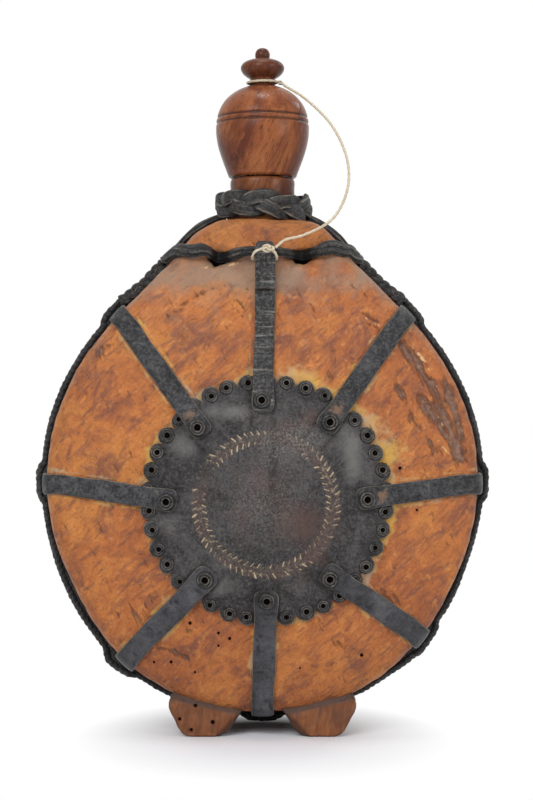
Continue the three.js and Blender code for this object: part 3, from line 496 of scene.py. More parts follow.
leatherLooks = {
    "strap": {"name": "blackStrapLeather", "tint": (0.027, 0.028, 0.032), "deep": 0.8, "patch": 46,
              "dusty": 0.42, "rubbed": 0.75, "rough": 0.46, "gloss": 0.22, "drawn": (8, 4.0, 1),
              "pale": 0.50, "line": 0.19},
    "smooth": {"name": "smoothStrapLeather", "tint": (0.042, 0.042, 0.048), "deep": 0.4, "patch": 34,
               "dusty": 0.20, "rubbed": 0.7, "rough": 0.40, "gloss": 0.26, "drawn": (8, 4.0, 1),
               "pale": 0.24, "line": 0.17},
    "cracked": {"name": "crackedStrapLeather", "tint": (0.017, 0.017, 0.019), "deep": 1.0, "patch": 95,
                "dusty": 0.72, "rubbed": 0.6, "rough": 0.40, "gloss": 0.30, "drawn": (1.6, 9.0, 1),
                "pale": 1.0, "line": 0.30},
    "medallion": {"name": "stampedMedallionLeather", "tint": (0.045, 0.0415, 0.0435), "deep": 0.65,
                  "patch": 34, "dusty": 0.40, "rubbed": 0.55, "rough": 0.50, "gloss": 0.20,
                  "sheen": 0.75, "gold": 0.9},
    "stud": {"name": "punchedStudLeather", "tint": (0.034, 0.033, 0.033), "deep": 0.8, "patch": 90,
             "dusty": 0.45, "rubbed": 0.8, "rough": 0.48, "gloss": 0.18},
    "cord": {"name": "plaitedCordLeather", "tint": (0.026, 0.026, 0.027), "deep": 0.8, "patch": 60,
             "dusty": 0.38, "rubbed": 0.65, "rough": 0.46, "gloss": 0.20, "drawn": (1.7, 0.5, 1),
             "pale": 0.55, "line": 0.17}}
bodyWood, footWood, turnedWood = makeBodyWood(), makeFootWood(), makeTurnedWood()
leather = {kind: makeLeather(look) for kind, look in leatherLooks.items()}
twine = makeTwine()
rawLeather = makePlain("rawWasherLeather", (0.36, 0.22, 0.11), (0.22, 0.12, 0.06), 300, 0.8)
sealWax = makePlain("sealingWax", (0.62, 0.46, 0.20), (0.45, 0.30, 0.12), 90, 0.45)
print("finishes made")


# Body form, as in the solid: a disc with domed faces, drawn up into shoulders and down into a base
form = {"gap": 0.4, "radius": 102.0, "axis": 121.0, "shoulderRise": 22.5, "shoulderSpread": 25.0,
        "bulge": 3.5, "bulgeAt": 14.0, "bulgeSpread": 6.0, "baseDrop": 8.0, "baseSpread": 48.0,
        "depth": 48.0, "fall": 13.0, "edge": 9.0, "barrel": 1.2}


# Distance from the faces' axis to the outline in a direction, degrees from +X
def reachOf(d):
    up = np.abs((np.asarray(d, float) - 90 + 540) % 360 - 180)
    base = form["baseDrop"] * bell(180 - up, form["baseSpread"], 4)
    bulge = form["bulge"] * bell(up - form["bulgeAt"], form["bulgeSpread"])
    return form["radius"] + form["shoulderRise"] * bell(up, form["shoulderSpread"]) + bulge + base


# Half the body's depth at a distance from the faces' axis: it falls off with the square
def halfAt(r):
    return form["depth"] - form["fall"] * (r / form["radius"]) ** 2


# Rounded edge in a direction: its first angle, its centre, and where it meets the face and the rim
def edgeAt(d):
    centre = reachOf(d) - form["edge"]
    start = np.arctan(2 * form["fall"] * centre / form["radius"] ** 2)
    tangent = centre + form["edge"] * np.sin(start)
    return start, centre, tangent, halfAt(tangent) - form["edge"] * np.cos(start)


# Point at a direction and distance round the faces' axis
def polar(d, r, y):
    d, r, y = np.broadcast_arrays(rad(d), r, y)
    return np.stack([r * np.cos(d), y, form["axis"] + r * np.sin(d)], -1)


# Across the outline, from the step between two near points of it
def outlineNormal(d):
    along = (polar(np.asarray(d) + 0.5, reachOf(np.asarray(d) + 0.5), 0.0)
             - polar(np.asarray(d) - 0.5, reachOf(np.asarray(d) - 0.5), 0.0))
    return unit(np.stack([along[..., 2], np.zeros_like(along[..., 0]), -along[..., 0]], -1))


# Points over the face, the rounded edge and the rim, lifted off the wood. Side is -1 in front, 1 behind.
def onFace(x, z, side, lift):
    x, z, lift = np.broadcast_arrays(np.asarray(x, float), np.asarray(z, float), np.asarray(lift, float))
    return np.stack([x, side * (halfAt(np.hypot(x, z - form["axis"])) + lift), z], -1)


def onEdge(d, share, side, lift):
    start, centre, tangent, depth = edgeAt(d)
    turn = start + share * (np.pi / 2 - start)
    p = polar(d, centre + form["edge"] * np.sin(turn), side * (depth + (form["edge"] + lift) * np.cos(turn)))
    return p + outlineNormal(d) * (lift * np.sin(turn))[..., None]


def onRim(d, place, lift):
    depth = edgeAt(d)[3]
    p = polar(d, reachOf(d) + form["barrel"] * (1 - place**2), place * depth)
    return p + outlineNormal(d) * np.broadcast_to(lift, p.shape[:-1])[..., None]


# Outward direction near the wood, taken from an oval round the body
def outward(p):
    return unit(np.stack([p[..., 0], p[..., 1] * 6.5, p[..., 2] - form["axis"]], -1))


# Place on the front face that is seen at a pixel of the photo
def seenAt(px, py):
    px, py = np.asarray(px, float), np.asarray(py, float)
    y = np.full(px.shape, -45.0)
    for turn in range(4):
        scale = (view["distance"] + y) / view["focus"]
        x, z = (px - view["middle"][0]) * scale, view["height"] - (py - view["middle"][1]) * scale
        y = -halfAt(np.hypot(x, z - form["axis"]))
    return x, z


# Twine first, as the free run sets the room needed: loop on the finial, free run, knot on the top strap
twineForm = {"radius": 0.65, "loopRadius": 7.25, "loopZ": 314.2, "knot": (3.2, 1.6, 2.0), "knotSide": 2.5,
             "knotRise": 3.0, "lay": 3.4,
             "bow": [(0.042, 4.2, -0.4), (0.068, 12.2, -0.5), (0.166, 26.1, 2.1), (0.34, 33.1, 2.9),
                     (0.527, 32.9, 3.2), (0.738, 24.9, 1.4), (0.903, 11.4, -0.4), (0.975, 2.4, -0.4)]}
thongForm = {"radius": 2.2, "z": 228.3, "stand": 5.3, "fold": 0.7, "angle": 22.5, "hollowX": 20.5,
             "hollowZ": 226.5, "overEdge": [(2.4, 0.65), (3.6, 0.38)], "press": 0.3,
             "shoulder": (32.6, 229.8, 0.9), "intoPit": (7.2, 3.0), "pitDeep": 4.4,
             "strip": (3.2, 2.1), "narrower": (1.1, 0.6), "narrowRun": 16}
strapForm = {"width": 11.0, "thick": 2.0, "reach": 46.5, "end": 6.0, "ramp": 7.0, "flap": 17.5}
medallion = {"radius": 57.0, "scallop": 1.3, "count": 38, "thick": 2.0, "x": 2.0, "z": 112.0}


def medalAt(reach, turn):
    return medallion["x"] + reach * np.cos(turn), medallion["z"] + reach * np.sin(turn)


# Frame on the middle line of the front or back face: place, normal, upward direction, slope
def faceFrame(z, side):
    slope = np.arctan(2 * form["fall"] * (z - form["axis"]) / form["radius"] ** 2)
    zero = np.zeros_like(slope)
    normal = np.stack([zero, side * np.cos(slope), np.sin(slope)], -1)
    up = np.stack([zero, -side * np.sin(slope), np.cos(slope)], -1)
    return onFace(0.0 * slope, z, side, 0.0), normal, up, slope


def frameBelow(below, side):
    slope = faceFrame(np.array(thongForm["z"]), side)[3]
    return faceFrame(thongForm["z"] - thongForm["stand"] * np.sin(slope) - below * np.cos(slope), side)


# Height of the folded flap's middle over the face, at a distance below the thong
def flapHeight(below):
    low = 2 * form["gap"] + strapForm["thick"] * 1.5
    high = thongForm["stand"] + thongForm["radius"] + thongForm["fold"] + strapForm["thick"] / 2
    return high + (low - high) * ease(below, thongForm["radius"] * 0.6, thongForm["radius"] * 4.5)


def thongMiddle(side):
    slope = faceFrame(np.array(thongForm["z"]), side)[3]
    return onFace(0.0, thongForm["z"], side, thongForm["stand"] / np.cos(slope))


# Two plies twisted round a path: the ring swells where a ply stands out and turns with the lay
def twinePart(path, out, loop=False, radius=twineForm["radius"]):
    run = runOf(path)
    a = circle(10)
    turns = max(1, round(run[-1] / twineForm["lay"])) * np.pi / run[-1]
    swell = 0.76 + 0.30 * np.abs(np.cos(a - run[:, None] * turns))
    p = tubePoints(path, out, radius, radius, 10, 0, loop, swell)
    return gridPart(p, None, (1, run[-1] / 2), loop)


hitchBelow = thongForm["radius"] + form["gap"] + 2 * twineForm["radius"]
knotPlace, knotNormal, _, _ = frameBelow(np.array(hitchBelow - twineForm["knotRise"]), -1)
knotHigh = (flapHeight(hitchBelow - twineForm["knotRise"] - twineForm["knot"][2]) + strapForm["thick"] / 2
            + form["gap"] + twineForm["knot"][1])
knotAt = knotPlace + knotNormal * knotHigh + np.array([twineForm["knotSide"], 0, 0])
stringStart = knotAt + np.array([twineForm["knot"][0] + form["gap"], 0, twineForm["knot"][2] * 0.2])
stringEnd = np.array([twineForm["loopRadius"] + 2 * twineForm["radius"] + form["gap"], -twineForm["radius"],
                      twineForm["loopZ"]])
bow = np.array(twineForm["bow"])
route = stringStart + bow[:, :1] * (stringEnd - stringStart) + np.pad(bow[:, 1:], ((0, 0), (0, 1)))
stringPath = smoothPath(np.vstack([stringStart, route, stringEnd]), 220)
tetherString = makePiece("tetherString", [twinePart(stringPath, np.array([0, -1.0, 0.05]))], twine, None,
                         ["tether_string"])
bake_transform(tetherString)

# Loop: one turn round the cap's neck, a little tilted, with a small knot where the free run leaves it
t = circle(120)
loopPath = np.stack([twineForm["loopRadius"] * np.cos(t), twineForm["loopRadius"] * np.sin(t),
                     twineForm["loopZ"] + 0.35 * np.sin(t + 0.6)], 1)
k = circle(90)
lobes = 0.55 * (1.3 + np.cos(3 * k))
smallKnot = np.stack([lobes * np.cos(2 * k), lobes * np.sin(2 * k), 0.6 * np.sin(3 * k)], 1)
smallKnot = smallKnot[:, [1, 0, 2]] * np.array([0.7, 1.0, 1.0]) + stringEnd + np.array([-0.3, 0.4, -0.1])
loopParts = [twinePart(loopPath, loopPath * [1, 1, 0], True),
             twinePart(smallKnot, np.array([0.3, 0.2, 1.0]), True, 0.45)]
makePiece("tetherLoop", loopParts, twine, "tether", ["tether_loop"])


# Hitch: a turn through the fold of the top strap and a three-lobed knot in front of it
def hitchAt(x, high, rise=0.0):
    place, normal, _, _ = frameBelow(np.array(hitchBelow - rise), -1)
    return place + normal * high + np.array([x, 0, 0])


def hitchFront(rise):
    return flapHeight(hitchBelow - rise) + strapForm["thick"] / 2 + form["gap"] + twineForm["radius"]


hitchBack = (form["gap"] + strapForm["thick"] + flapHeight(hitchBelow) - strapForm["thick"] / 2) / 2
hitchSide = strapForm["width"] / 2 + form["gap"] + twineForm["radius"]
inset, gap = 2 * twineForm["radius"], form["gap"]
low, mid, top = 0.2 * twineForm["knotRise"], 0.6 * twineForm["knotRise"], twineForm["knotRise"]
right = [hitchAt(hitchSide - inset, hitchBack), hitchAt(hitchSide + gap, hitchBack + inset),
         hitchAt(hitchSide + gap, hitchFront(low) - inset, low),
         hitchAt(hitchSide - inset, hitchFront(mid) + gap, mid)]
hitchPoints = [hitchAt(0, hitchBack), *right, hitchAt(0, hitchFront(top) + gap, top),
               *[p * [-1, 1, 1] for p in right[::-1]]]
hitchPath = smoothPath(hitchPoints, 150, True) * [0.79, 1, 1] + [1.0, 0, 0]
lobes = 1.45 + 0.95 * np.cos(3 * k)
knotPath = np.stack([lobes * np.cos(2 * k) * 1.1, 0.85 * np.sin(3 * k), lobes * np.sin(2 * k) * 0.62], 1)
hitchParts = [twinePart(hitchPath, unit(hitchPath - hitchPath.mean(0)) + [0, 0, 0.8], True),
              twinePart(knotPath + knotAt, np.array([0.1, -1.0, 0.3]), True, 0.62)]
makePiece("tetherHitch", hitchParts, twine, "flask", ["tether_hitch"])


# Straps on the front face: the middle line of each from its medallion end to the rim
strapPlaces = {"upper_right": (49, 51.3), "right": (-1, 0.6), "lower_right": (-45, -51.3),
               "bottom": (-90, -90), "lower_left": (-127, -128), "left": (-179, -179.4),
               "upper_left": (131, 133.4)}
topRosette = 92.9


def strapLine(rim, rosette):
    turn, reach = rad(rosette), strapForm["reach"] - strapForm["end"]
    start = np.array(medalAt(reach, turn))
    tangent = polar(rim, edgeAt(rim)[2], 0.0)
    return start, np.array([tangent[0], tangent[2]])


# Height of a strap's underside: on the wood, ramped up over the medallion's edge
def strapLift(x, z):
    away = np.hypot(x - medallion["x"], z - medallion["z"])
    rimEdge = medallion["radius"] + medallion["scallop"] + form["gap"]
    onTop = 1 - ease(away, rimEdge, rimEdge + strapForm["ramp"])
    return form["gap"] + (medallion["thick"] + form["gap"]) * onTop


# Body: rows run from the front middle over the rim to the recess of the closing disc, columns go round.
# The skin is moved along its normal by carving, and sinks straight down inside the neck's bore.
wood = {"columns": 600, "faceRows": 88, "discOpening": 46.1, "ledge": 40.0, "boreRadius": 9.3,
        "boreFloor": 205.0, "carving": 0.26, "chips": 1.4, "shoulderSkin": 1.4,
        "pits": {-1: (-21.0, 226.2), 1: (18.4, 227.2)}, "pitDepth": 8.0, "dishDepth": 3.2}
# Wear and painted shade. Halo is the pale ring round the medallion: degrees, width in mm, strength.
# Dust bands: place, width, strength. Painted shade below and at the left, and darker wood above: where they
# begin, where they are full, strength.
wearAndShade = {"halo": [(0, 6.0, 0.95), (30, 9.5, 1.0), (60, 6.0, 0.85), (80, 7.5, 0.85), (105, 6.0, 0.8),
                 (130, 3.0, 0.6), (165, 4.0, 0.75), (200, 3.5, 0.6), (240, 2.5, 0.55), (275, 2.0, 0.5),
                 (310, 4.0, 0.65), (335, 6.0, 0.8), (360, 6.0, 0.95)],
        "strapHalo": 0.62, "dustShoulder": (220, 10, 0.75), "dustStrap": (217, 10, 0.9),
        "dustRim": (1.5, 2.0, 0.22), "dustRise": (160, 212), "dustEnd": (224, 236), "dustAll": 0.26,
        "paintedShadeBelow": (-64, -20, 0.15), "paintedShadeLeft": (76, 106, 0.13), "darkAbove": (226, 240, 0.26)}
# Strokes seen in the photo, in its pixels: points, half width in mm, depth in mm, strength of the stain
scars = [([(405, 346), (418, 366), (430, 384), (445, 414), (459, 452)], 2.6, 0.7, 1.0),
         ([(419, 396), (436, 420), (447, 437)], 2.2, 0.6, 1.0),
         ([(445, 382), (454, 409), (461, 438)], 2.4, 0.5, 1.0),
         ([(437, 402), (452, 432), (458, 458)], 3.6, 0.4, 0.9), ([(396, 389), (402, 396)], 2.2, 0.3, 0.6),
         ([(412, 418), (417, 425)], 2.4, 0.3, 0.65), ([(431, 442), (437, 452)], 2.0, 0.3, 0.65),
         ([(362, 313), (378, 322)], 1.2, 0.6, 0.7), ([(366, 322), (380, 330)], 0.9, 0.4, 0.6),
         ([(178, 307), (205, 291), (226, 285), (248, 290)], 0.7, 0.35, 0.42),
         ([(160, 319), (182, 309)], 0.7, 0.3, 0.42), ([(96, 352), (112, 344)], 2.4, 0.2, 0.55),
         ([(158, 648), (174, 652), (187, 659)], 1.5, 0.5, 0.6), ([(133, 612), (141, 618)], 3.0, 0.2, 0.5),
         ([(337, 643), (345, 647)], 2.0, 0.3, 0.6), ([(384, 595), (398, 603)], 2.2, 0.2, 0.5),
         ([(352, 285), (368, 297)], 0.9, 0.3, 0.45), ([(300, 300), (330, 318)], 0.8, 0.2, 0.40),
         ([(186, 632), (194, 628)], 1.5, 0.3, 0.6), ([(236, 300), (243, 306)], 2.0, 0.2, 0.5)]
paleCuts = [([(418, 352), (422, 358), (426, 362)], 0.55), ([(428, 368), (444, 398), (449, 418)], 0.26),
            ([(436, 412), (443, 424)], 0.3), ([(438, 440), (450, 456)], 0.26),
            ([(364, 317), (380, 326)], 0.3), ([(209, 266), (204, 268)], 0.35),
            ([(229, 265), (238, 263)], 0.3)]


# Distance in the face's plane from a broken line
def awayFrom(x, z, px):
    lx, lz = seenAt(*np.array(px, float).T)
    best = np.full(x.shape, 1e9)
    for i in range(len(lx) - 1):
        dx, dz = lx[i + 1] - lx[i], lz[i + 1] - lz[i]
        s = np.clip(((x - lx[i]) * dx + (z - lz[i]) * dz) / (dx * dx + dz * dz), 0, 1)
        best = np.minimum(best, np.hypot(x - lx[i] - s * dx, z - lz[i] - s * dz))
    return best


def makeBody():
    u = np.arange(wood["columns"]) / wood["columns"]
    d = 90 + 360 * u - 28 * np.sin(2 * np.pi * u)  # columns crowd together at the shoulders
    tangent = edgeAt(d)[2]
    share = np.concatenate([[0.02, 0.15, 0.28, 0.36], np.linspace(0.40, 1, wood["faceRows"])])[:, None]
    front = polar(d, share * tangent, -halfAt(share * tangent))
    turn = np.linspace(0, 1, 12)[1:-1, None]
    place = np.linspace(-1, 1, 16)[:, None]
    back = wood["discOpening"] + (tangent - wood["discOpening"]) * np.linspace(1, 0, 26)[:, None]
    ledge = np.array([wood["discOpening"] - 0.01, 30.0, 2.0])[:, None]
    p = np.concatenate([front, onEdge(d, turn, -1, 0.0 * turn), onRim(d, place, 0.0),
                        onEdge(d, turn[::-1], 1, 0.0 * turn), polar(d, back, halfAt(back)),
                        polar(d, ledge + 0 * d, wood["ledge"])])
    normal = unit(np.cross(np.roll(p, -1, 1) - np.roll(p, 1, 1), np.gradient(p, axis=0)))
    normal *= np.sign((normal * (p - [0, 0, form["axis"]])).sum(-1))[..., None]
    x, y, z = np.moveaxis(p, -1, 0)
    isFront = y < -20
    skin = np.ones(p.shape[:2])
    skin[-3:] = 0
    move = skin * wood["carving"] * (uneven(p, 34, 3) + 0.6 * uneven(p, 12, 4) + 0.35 * uneven(p, 5, 5))
    move += skin * 0.55 * uneven(p * [1, 1, 1.6], 17, 9) * ease(z, 215, 232)
    rimAway = reachOf(np.degrees(np.arctan2(z - form["axis"], x))) - np.hypot(x, z - form["axis"])
    chips = np.clip(uneven(p, 9, 8) - 0.75, 0, 1) * bell(rimAway - 3, 4)
    move -= wood["chips"] * chips
    up = np.abs(np.degrees(np.arctan2(x, z - form["axis"])))
    move += wood["shoulderSkin"] * bell(up - 10.5, 3.6) * (1 - ease(rimAway, 4, 16)) * skin
    hollow, pit = np.zeros_like(x), np.zeros_like(x)
    for hand, (px, pz) in wood["pits"].items():
        for facing in (-1, 1):
            hollowAt = (hand * thongForm["hollowX"], thongForm["hollowZ"])
            middle = (px, pz) if facing < 0 else hollowAt
            away = np.hypot((x - middle[0]) / 1.35, z - middle[1]) + 0.35 * uneven(p, 5, 15)
            away = np.where(y * facing > 18, away, 99)
            hollow = np.maximum(hollow, wood["dishDepth"] * (1 - ease(away, 1.5, 7.2)))
            pit = np.maximum(pit, 1 - ease(away, 2.3, 3.6))
    move -= hollow + wood["pitDepth"] * pit
    scar, pale = np.zeros_like(x), np.zeros_like(x)
    for points, width, deep, strength in scars:
        away = np.where(isFront, awayFrom(x, z, points), 99) / (width * (1 + 0.35 * uneven(p, 11, 21)))
        scar = np.maximum(scar, np.clip(1 - 0.62 * away, 0, 1) * strength)
        move -= deep * np.exp(-(away**2))
    for points, width in paleCuts:
        pale = np.maximum(pale, bell(np.where(isFront, awayFrom(x, z, points), 99), width))
    across = np.hypot(x - medallion["x"], z - medallion["z"]) - medallion["radius"]
    turn = np.degrees(np.arctan2(z - medallion["z"], x - medallion["x"])) % 360
    stops = np.array(wearAndShade["halo"]).T
    width = np.interp(turn, stops[0], stops[1]) * (1 + 0.45 * uneven(p, 22, 11))
    halo = np.interp(turn, stops[0], stops[2]) * bell(np.maximum(across, 0), np.maximum(width, 1.2))
    for rim, rosette in [*strapPlaces.values(), (90, topRosette)]:
        a, b = strapLine(rim, rosette)
        along = (b - a) / np.linalg.norm(b - a)
        side = np.abs((x - a[0]) * along[1] - (z - a[1]) * along[0]) - strapForm["width"] / 2
        ahead = ((x - a[0]) * along[0] + (z - a[1]) * along[1] > 0) * (1 - ease(z, 196, 206))
        fringe = bell(side - 0.4, 1.1 + 0.5 * uneven(p, 22, 12))
        halo = np.maximum(halo, wearAndShade["strapHalo"] * ahead * fringe)
    halo = np.clip(halo * (np.abs(y) > 20), 0, 1)
    at, spreadOut, strength = wearAndShade["dustShoulder"]
    dust = strength * bell(z - at, spreadOut) * (0.85 + 0.5 * uneven(p, 20, 14))
    at, spreadOut, strength = wearAndShade["dustRim"]
    dust += strength * bell(rimAway - at, spreadOut) * (np.abs(y) > 16)
    at, spreadOut, strength = wearAndShade["dustStrap"]
    dust = np.maximum(dust, strength * bell(np.hypot(x / 1.6, z - at), spreadOut))
    dust += wearAndShade["dustAll"] * ease(z, *wearAndShade["dustRise"]) * (1 - ease(z, *wearAndShade["dustEnd"]))
    # Painted shade in the pits, the hollows and round the neck under the collar, then painted shade towards
    # the bottom and the left, and darker wood towards the neck
    darkAndShade = 0.95 * pit + 0.35 * ease(hollow, 1.2, 3.0) + 0.8 * (np.hypot(x, y) < 19.5) * (z > 238)
    for value, key in ((-z, "paintedShadeBelow"), (-x, "paintedShadeLeft"), (z, "darkAbove")):
        begin, full, strength = wearAndShade[key]
        darkAndShade += strength * ease(value, begin, full)
    p = p + normal * move[..., None]
    inBore = (np.hypot(x, y) < wood["boreRadius"]) & (z > 200)
    p[..., 2] = np.where(inBore, wood["boreFloor"], p[..., 2])
    marks = {"halo": halo, "dust": np.clip(dust, 0, 1), "scar": scar, "pale": pale,
             "darkAndShade": np.clip(darkAndShade, 0, 1)}
    return gridPart(p, marks)


# Turned form: each point of the profile, radius and height, goes round the upright axis
def latheRows(profile, sides):
    r, z = np.array(profile, float).T
    a = circle(sides)
    return np.stack([r[:, None] * np.cos(a), r[:, None] * np.sin(a), np.repeat(z[:, None], sides, 1)], -1)


# Neck: a turned ring with a small root and the bore for the mouthpiece
# The neck ring gets some dust, and painted shade as it lies under the collar
plainMarks = {"halo": 0.0, "dust": 0.25, "scar": 0.0, "pale": 0.0, "darkAndShade": 0.25}
neckRing = latheRows([(9.5, 206), (9.5, 230), (9.5, 251.1), (9.9, 251.5), (13, 251.5), (16, 251.5),
                      (16.5, 251), (16.5, 248.2), (16.8, 247), (17.6, 245.8), (18.5, 244.9), (18.5, 240),
                      (18.5, 232), (14, 220)], 72)
makePiece("flaskBody", [makeBody(), gridPart(neckRing, plainMarks, wrapRows=True)], bodyWood, "flask",
          ["flask_body"])
print("body carved")

# Feet: the outline seen from the front with rounded corners, carried back, its ends drawn in to a bevel.
# Two slanting cuts, each a slope and a place, sink the upper and the inner part of the face.
foot = {"spacing": 27.5, "front": 33.0, "back": 9.0, "bevel": 1.3,
        "outline": [(10.25, 0), (17.5, 14.5), (13.5, 23), (4.5, 32), (-10.25, 28), (-19, 18), (-19, 13.5),
                    (-10.25, 0)],
        "corner": [4.8, 3.4, 3, 3, 3, 2.2, 2.2, 5.2],
        "topCut": (0.23, 13.9), "innerCut": (0.95, 4.6), "cutSlope": 0.5, "cutMost": 2.2}


def makeFoot(hand, side):
    c = np.array(foot["outline"])
    toPrev, toNext = unit(np.roll(c, 1, 0) - c), unit(np.roll(c, -1, 0) - c)
    s = np.linspace(0, 1, 6)[None, :, None]
    corner = np.array(foot["corner"])[:, None]
    a, b = (c + corner * toPrev)[:, None], (c + corner * toNext)[:, None]
    ring = ((1 - s) ** 2 * a + 2 * s * (1 - s) * c[:, None] + s**2 * b).reshape(-1, 2)
    ring = np.vstack([ring, ring[:1]])
    run = runOf(ring)
    at = np.linspace(0, run[-1], 132, endpoint=False)
    ring = np.stack([np.interp(at, run, ring[:, i]) for i in range(2)], 1)
    middle = ring.mean(0)
    inner, rounded = np.linspace(0.03, 0.92, 14), np.array([0.955, 0.98, 0.994, 1])
    drawn = np.concatenate([inner, rounded, np.ones(16), rounded[::-1], inner[::-1]])
    depth, bevel = foot["front"] - foot["back"], foot["bevel"] * np.array([0.08, 0.35, 0.75, 1.3])
    deep = np.concatenate([np.zeros(14), bevel, np.linspace(2, depth - 2, 16), depth - bevel[::-1],
                           np.full(14, depth)])
    x = middle[0] + (ring[None, :, 0] - middle[0]) * drawn[:, None]
    z = middle[1] + (ring[None, :, 1] - middle[1]) * drawn[:, None]
    y = np.broadcast_to((foot["front"] - deep)[:, None], x.shape)
    p = np.stack([hand * (foot["spacing"] + x), side * y, z], -1)
    facing = (drawn < 0.94)[:, None] & (deep < 12)[:, None]
    rough = 0.22 * uneven(p, 11, 31) + 0.16 * uneven(p, 4.5, 32)
    p[..., 1] -= side * np.where(facing, 0.25 + rough, 0)
    p[..., 0] += np.where(facing, 0, rough * np.sign(p[..., 0] - hand * foot["spacing"]))
    p[..., 2] = np.maximum(p[..., 2], 0)
    (topSlope, topAt), (innerSlope, innerAt) = foot["topCut"], foot["innerCut"]
    topCut, innerCut = z - topSlope * x - topAt, -innerAt - x - innerSlope * z
    sunk = np.minimum(foot["cutSlope"] * np.maximum(np.maximum(topCut, innerCut), 0), foot["cutMost"])
    p[..., 1] -= side * (deep < 6)[:, None] * sunk
    # Painted shade on the sunk upper and inner parts, which lie under the body's edge, and on the rounded
    # rim of the outline
    shade = np.maximum(ease(topCut, -0.8, 0.8), 0.8 * ease(innerCut, -0.6, 0.8))
    darkAndShade = 0.82 * shade + 0.30 * ease(drawn, 0.92, 1.0)[:, None]
    return gridPart(p, {"darkAndShade": np.clip(darkAndShade, 0, 0.9)})


makePiece("flaskFeet", [makeFoot(h, s) for h in (-1, 1) for s in (-1, 1)], footWood, "flask", ())

# Insect holes: small cups painted near black as the shade inside each hole, seen on the face and the left
# foot, in the photo's pixels with radius in mm
holes = [(190, 623, 0.75), (218.5, 633, 0.6), (229.6, 638.5, 0.65), (218.6, 645.7, 0.5), (154, 662, 0.55),
         (171, 662, 0.6), (195, 672, 0.55), (103, 550, 0.5), (391, 608, 0.5), (361.6, 655, 0.75),
         (400, 468, 0.7), (417, 510, 0.5), (376, 452, 0.4), (300, 668, 0.4)]
footHoles = [(-31.6, 15.0, 0.75), (-39.0, 8.6, 0.7), (-23.5, 7.2, 0.85), (-33.6, 3.6, 0.7)]


# Cup: rings of a shallow dish round a point, laid on the surface
def cupPart(middle, normal, radius):
    a = circle(12)
    side = unit(np.cross(normal, [0.3, 0.1, 1.0]))
    up = np.cross(side, normal)
    ring = np.cos(a)[:, None] * side + np.sin(a)[:, None] * up
    r, h = np.array([0.05, 0.7, 0.95, 1.1, 1.1]) * radius, np.array([0.10, 0.11, 0.15, 0.08, -0.5])
    return gridPart(middle + r[:, None, None] * ring + h[:, None, None] * normal)


holeParts = []
for px, py, radius in holes:
    hx, hz = seenAt(px, py)
    lean = 2 * form["fall"] / form["radius"] ** 2
    holeParts.append(cupPart(onFace(hx, hz, -1, 0.15),
                             unit(np.array([lean * hx, -1, lean * (hz - form["axis"])])), radius))
for hx, hz, radius in footHoles:
    holeParts.append(cupPart(np.array([hx, -foot["front"] - 0.35, hz]), np.array([0, -1.0, 0]), radius))
# Painted shade for holes: near black
holeDark, holeTree, holeShader = newFinish("paintedHoleShade")
holeTone = ramp(holeTree, cloud(holeTree, objectAt(holeTree), 900, 3, 0.6),
                [(0.3, 0.003, 0.002, 0.002), (0.7, 0.010, 0.006, 0.004)])
paint(holeTree, holeShader, holeTone, 0.95, 0.0)
makePiece("insectHoleShade", holeParts, holeDark, "flask", ())
print("feet and insect holes made")


# Cap and mouthpiece: profiles turned about the upright axis
capForm = {"bottom": 267.4, "base": 16.3, "belly": 22.7, "bellyUp": 24.0, "shoulderUp": 45.0, "neck": 6.2,
           "neckUp": 3.6, "finial": 9.8, "finialUp": 9.6, "bead": 3.6, "beadUp": 5.4,
           "grooves": (26.4, 29.3), "grooveWide": 0.75, "grooveDeep": 0.75, "bore": 9.4, "hollowTop": 291.6}
thread = {"core": 9.0, "pitch": 6.0, "turns": 2.1, "depth": 1.6, "root": 4.0, "crest": 1.8, "first": 270.4,
          "gap": 0.4}


# Cubic curve from a to d, drawn toward b and c
def bezier(a, b, c, d, count):
    t = np.linspace(0, 1, count)[:, None]
    return ((1 - t) ** 3 * np.array(a) + 3 * t * (1 - t) ** 2 * np.array(b)
            + 3 * t**2 * (1 - t) * np.array(c) + t**3 * np.array(d))


# How far a helical ridge stands out at an angle and a height: a trapezium about the helix's nearest turn
def ridge(a, z, fromTurn, toTurn, grow):
    phase = (z - thread["first"]) / thread["pitch"] - a / (2 * np.pi)
    turn = np.clip(np.round(phase), -2, 4)
    away = np.abs(phase - turn) * thread["pitch"]
    root, crest = thread["root"] / 2 + grow, thread["crest"] / 2 + grow
    run = turn + a / (2 * np.pi)
    return (np.clip((root - away) / (root - crest), 0, 1) * ease(run, fromTurn - 0.04, fromTurn)
            * (1 - ease(run, toTurn, toTurn + 0.04)))


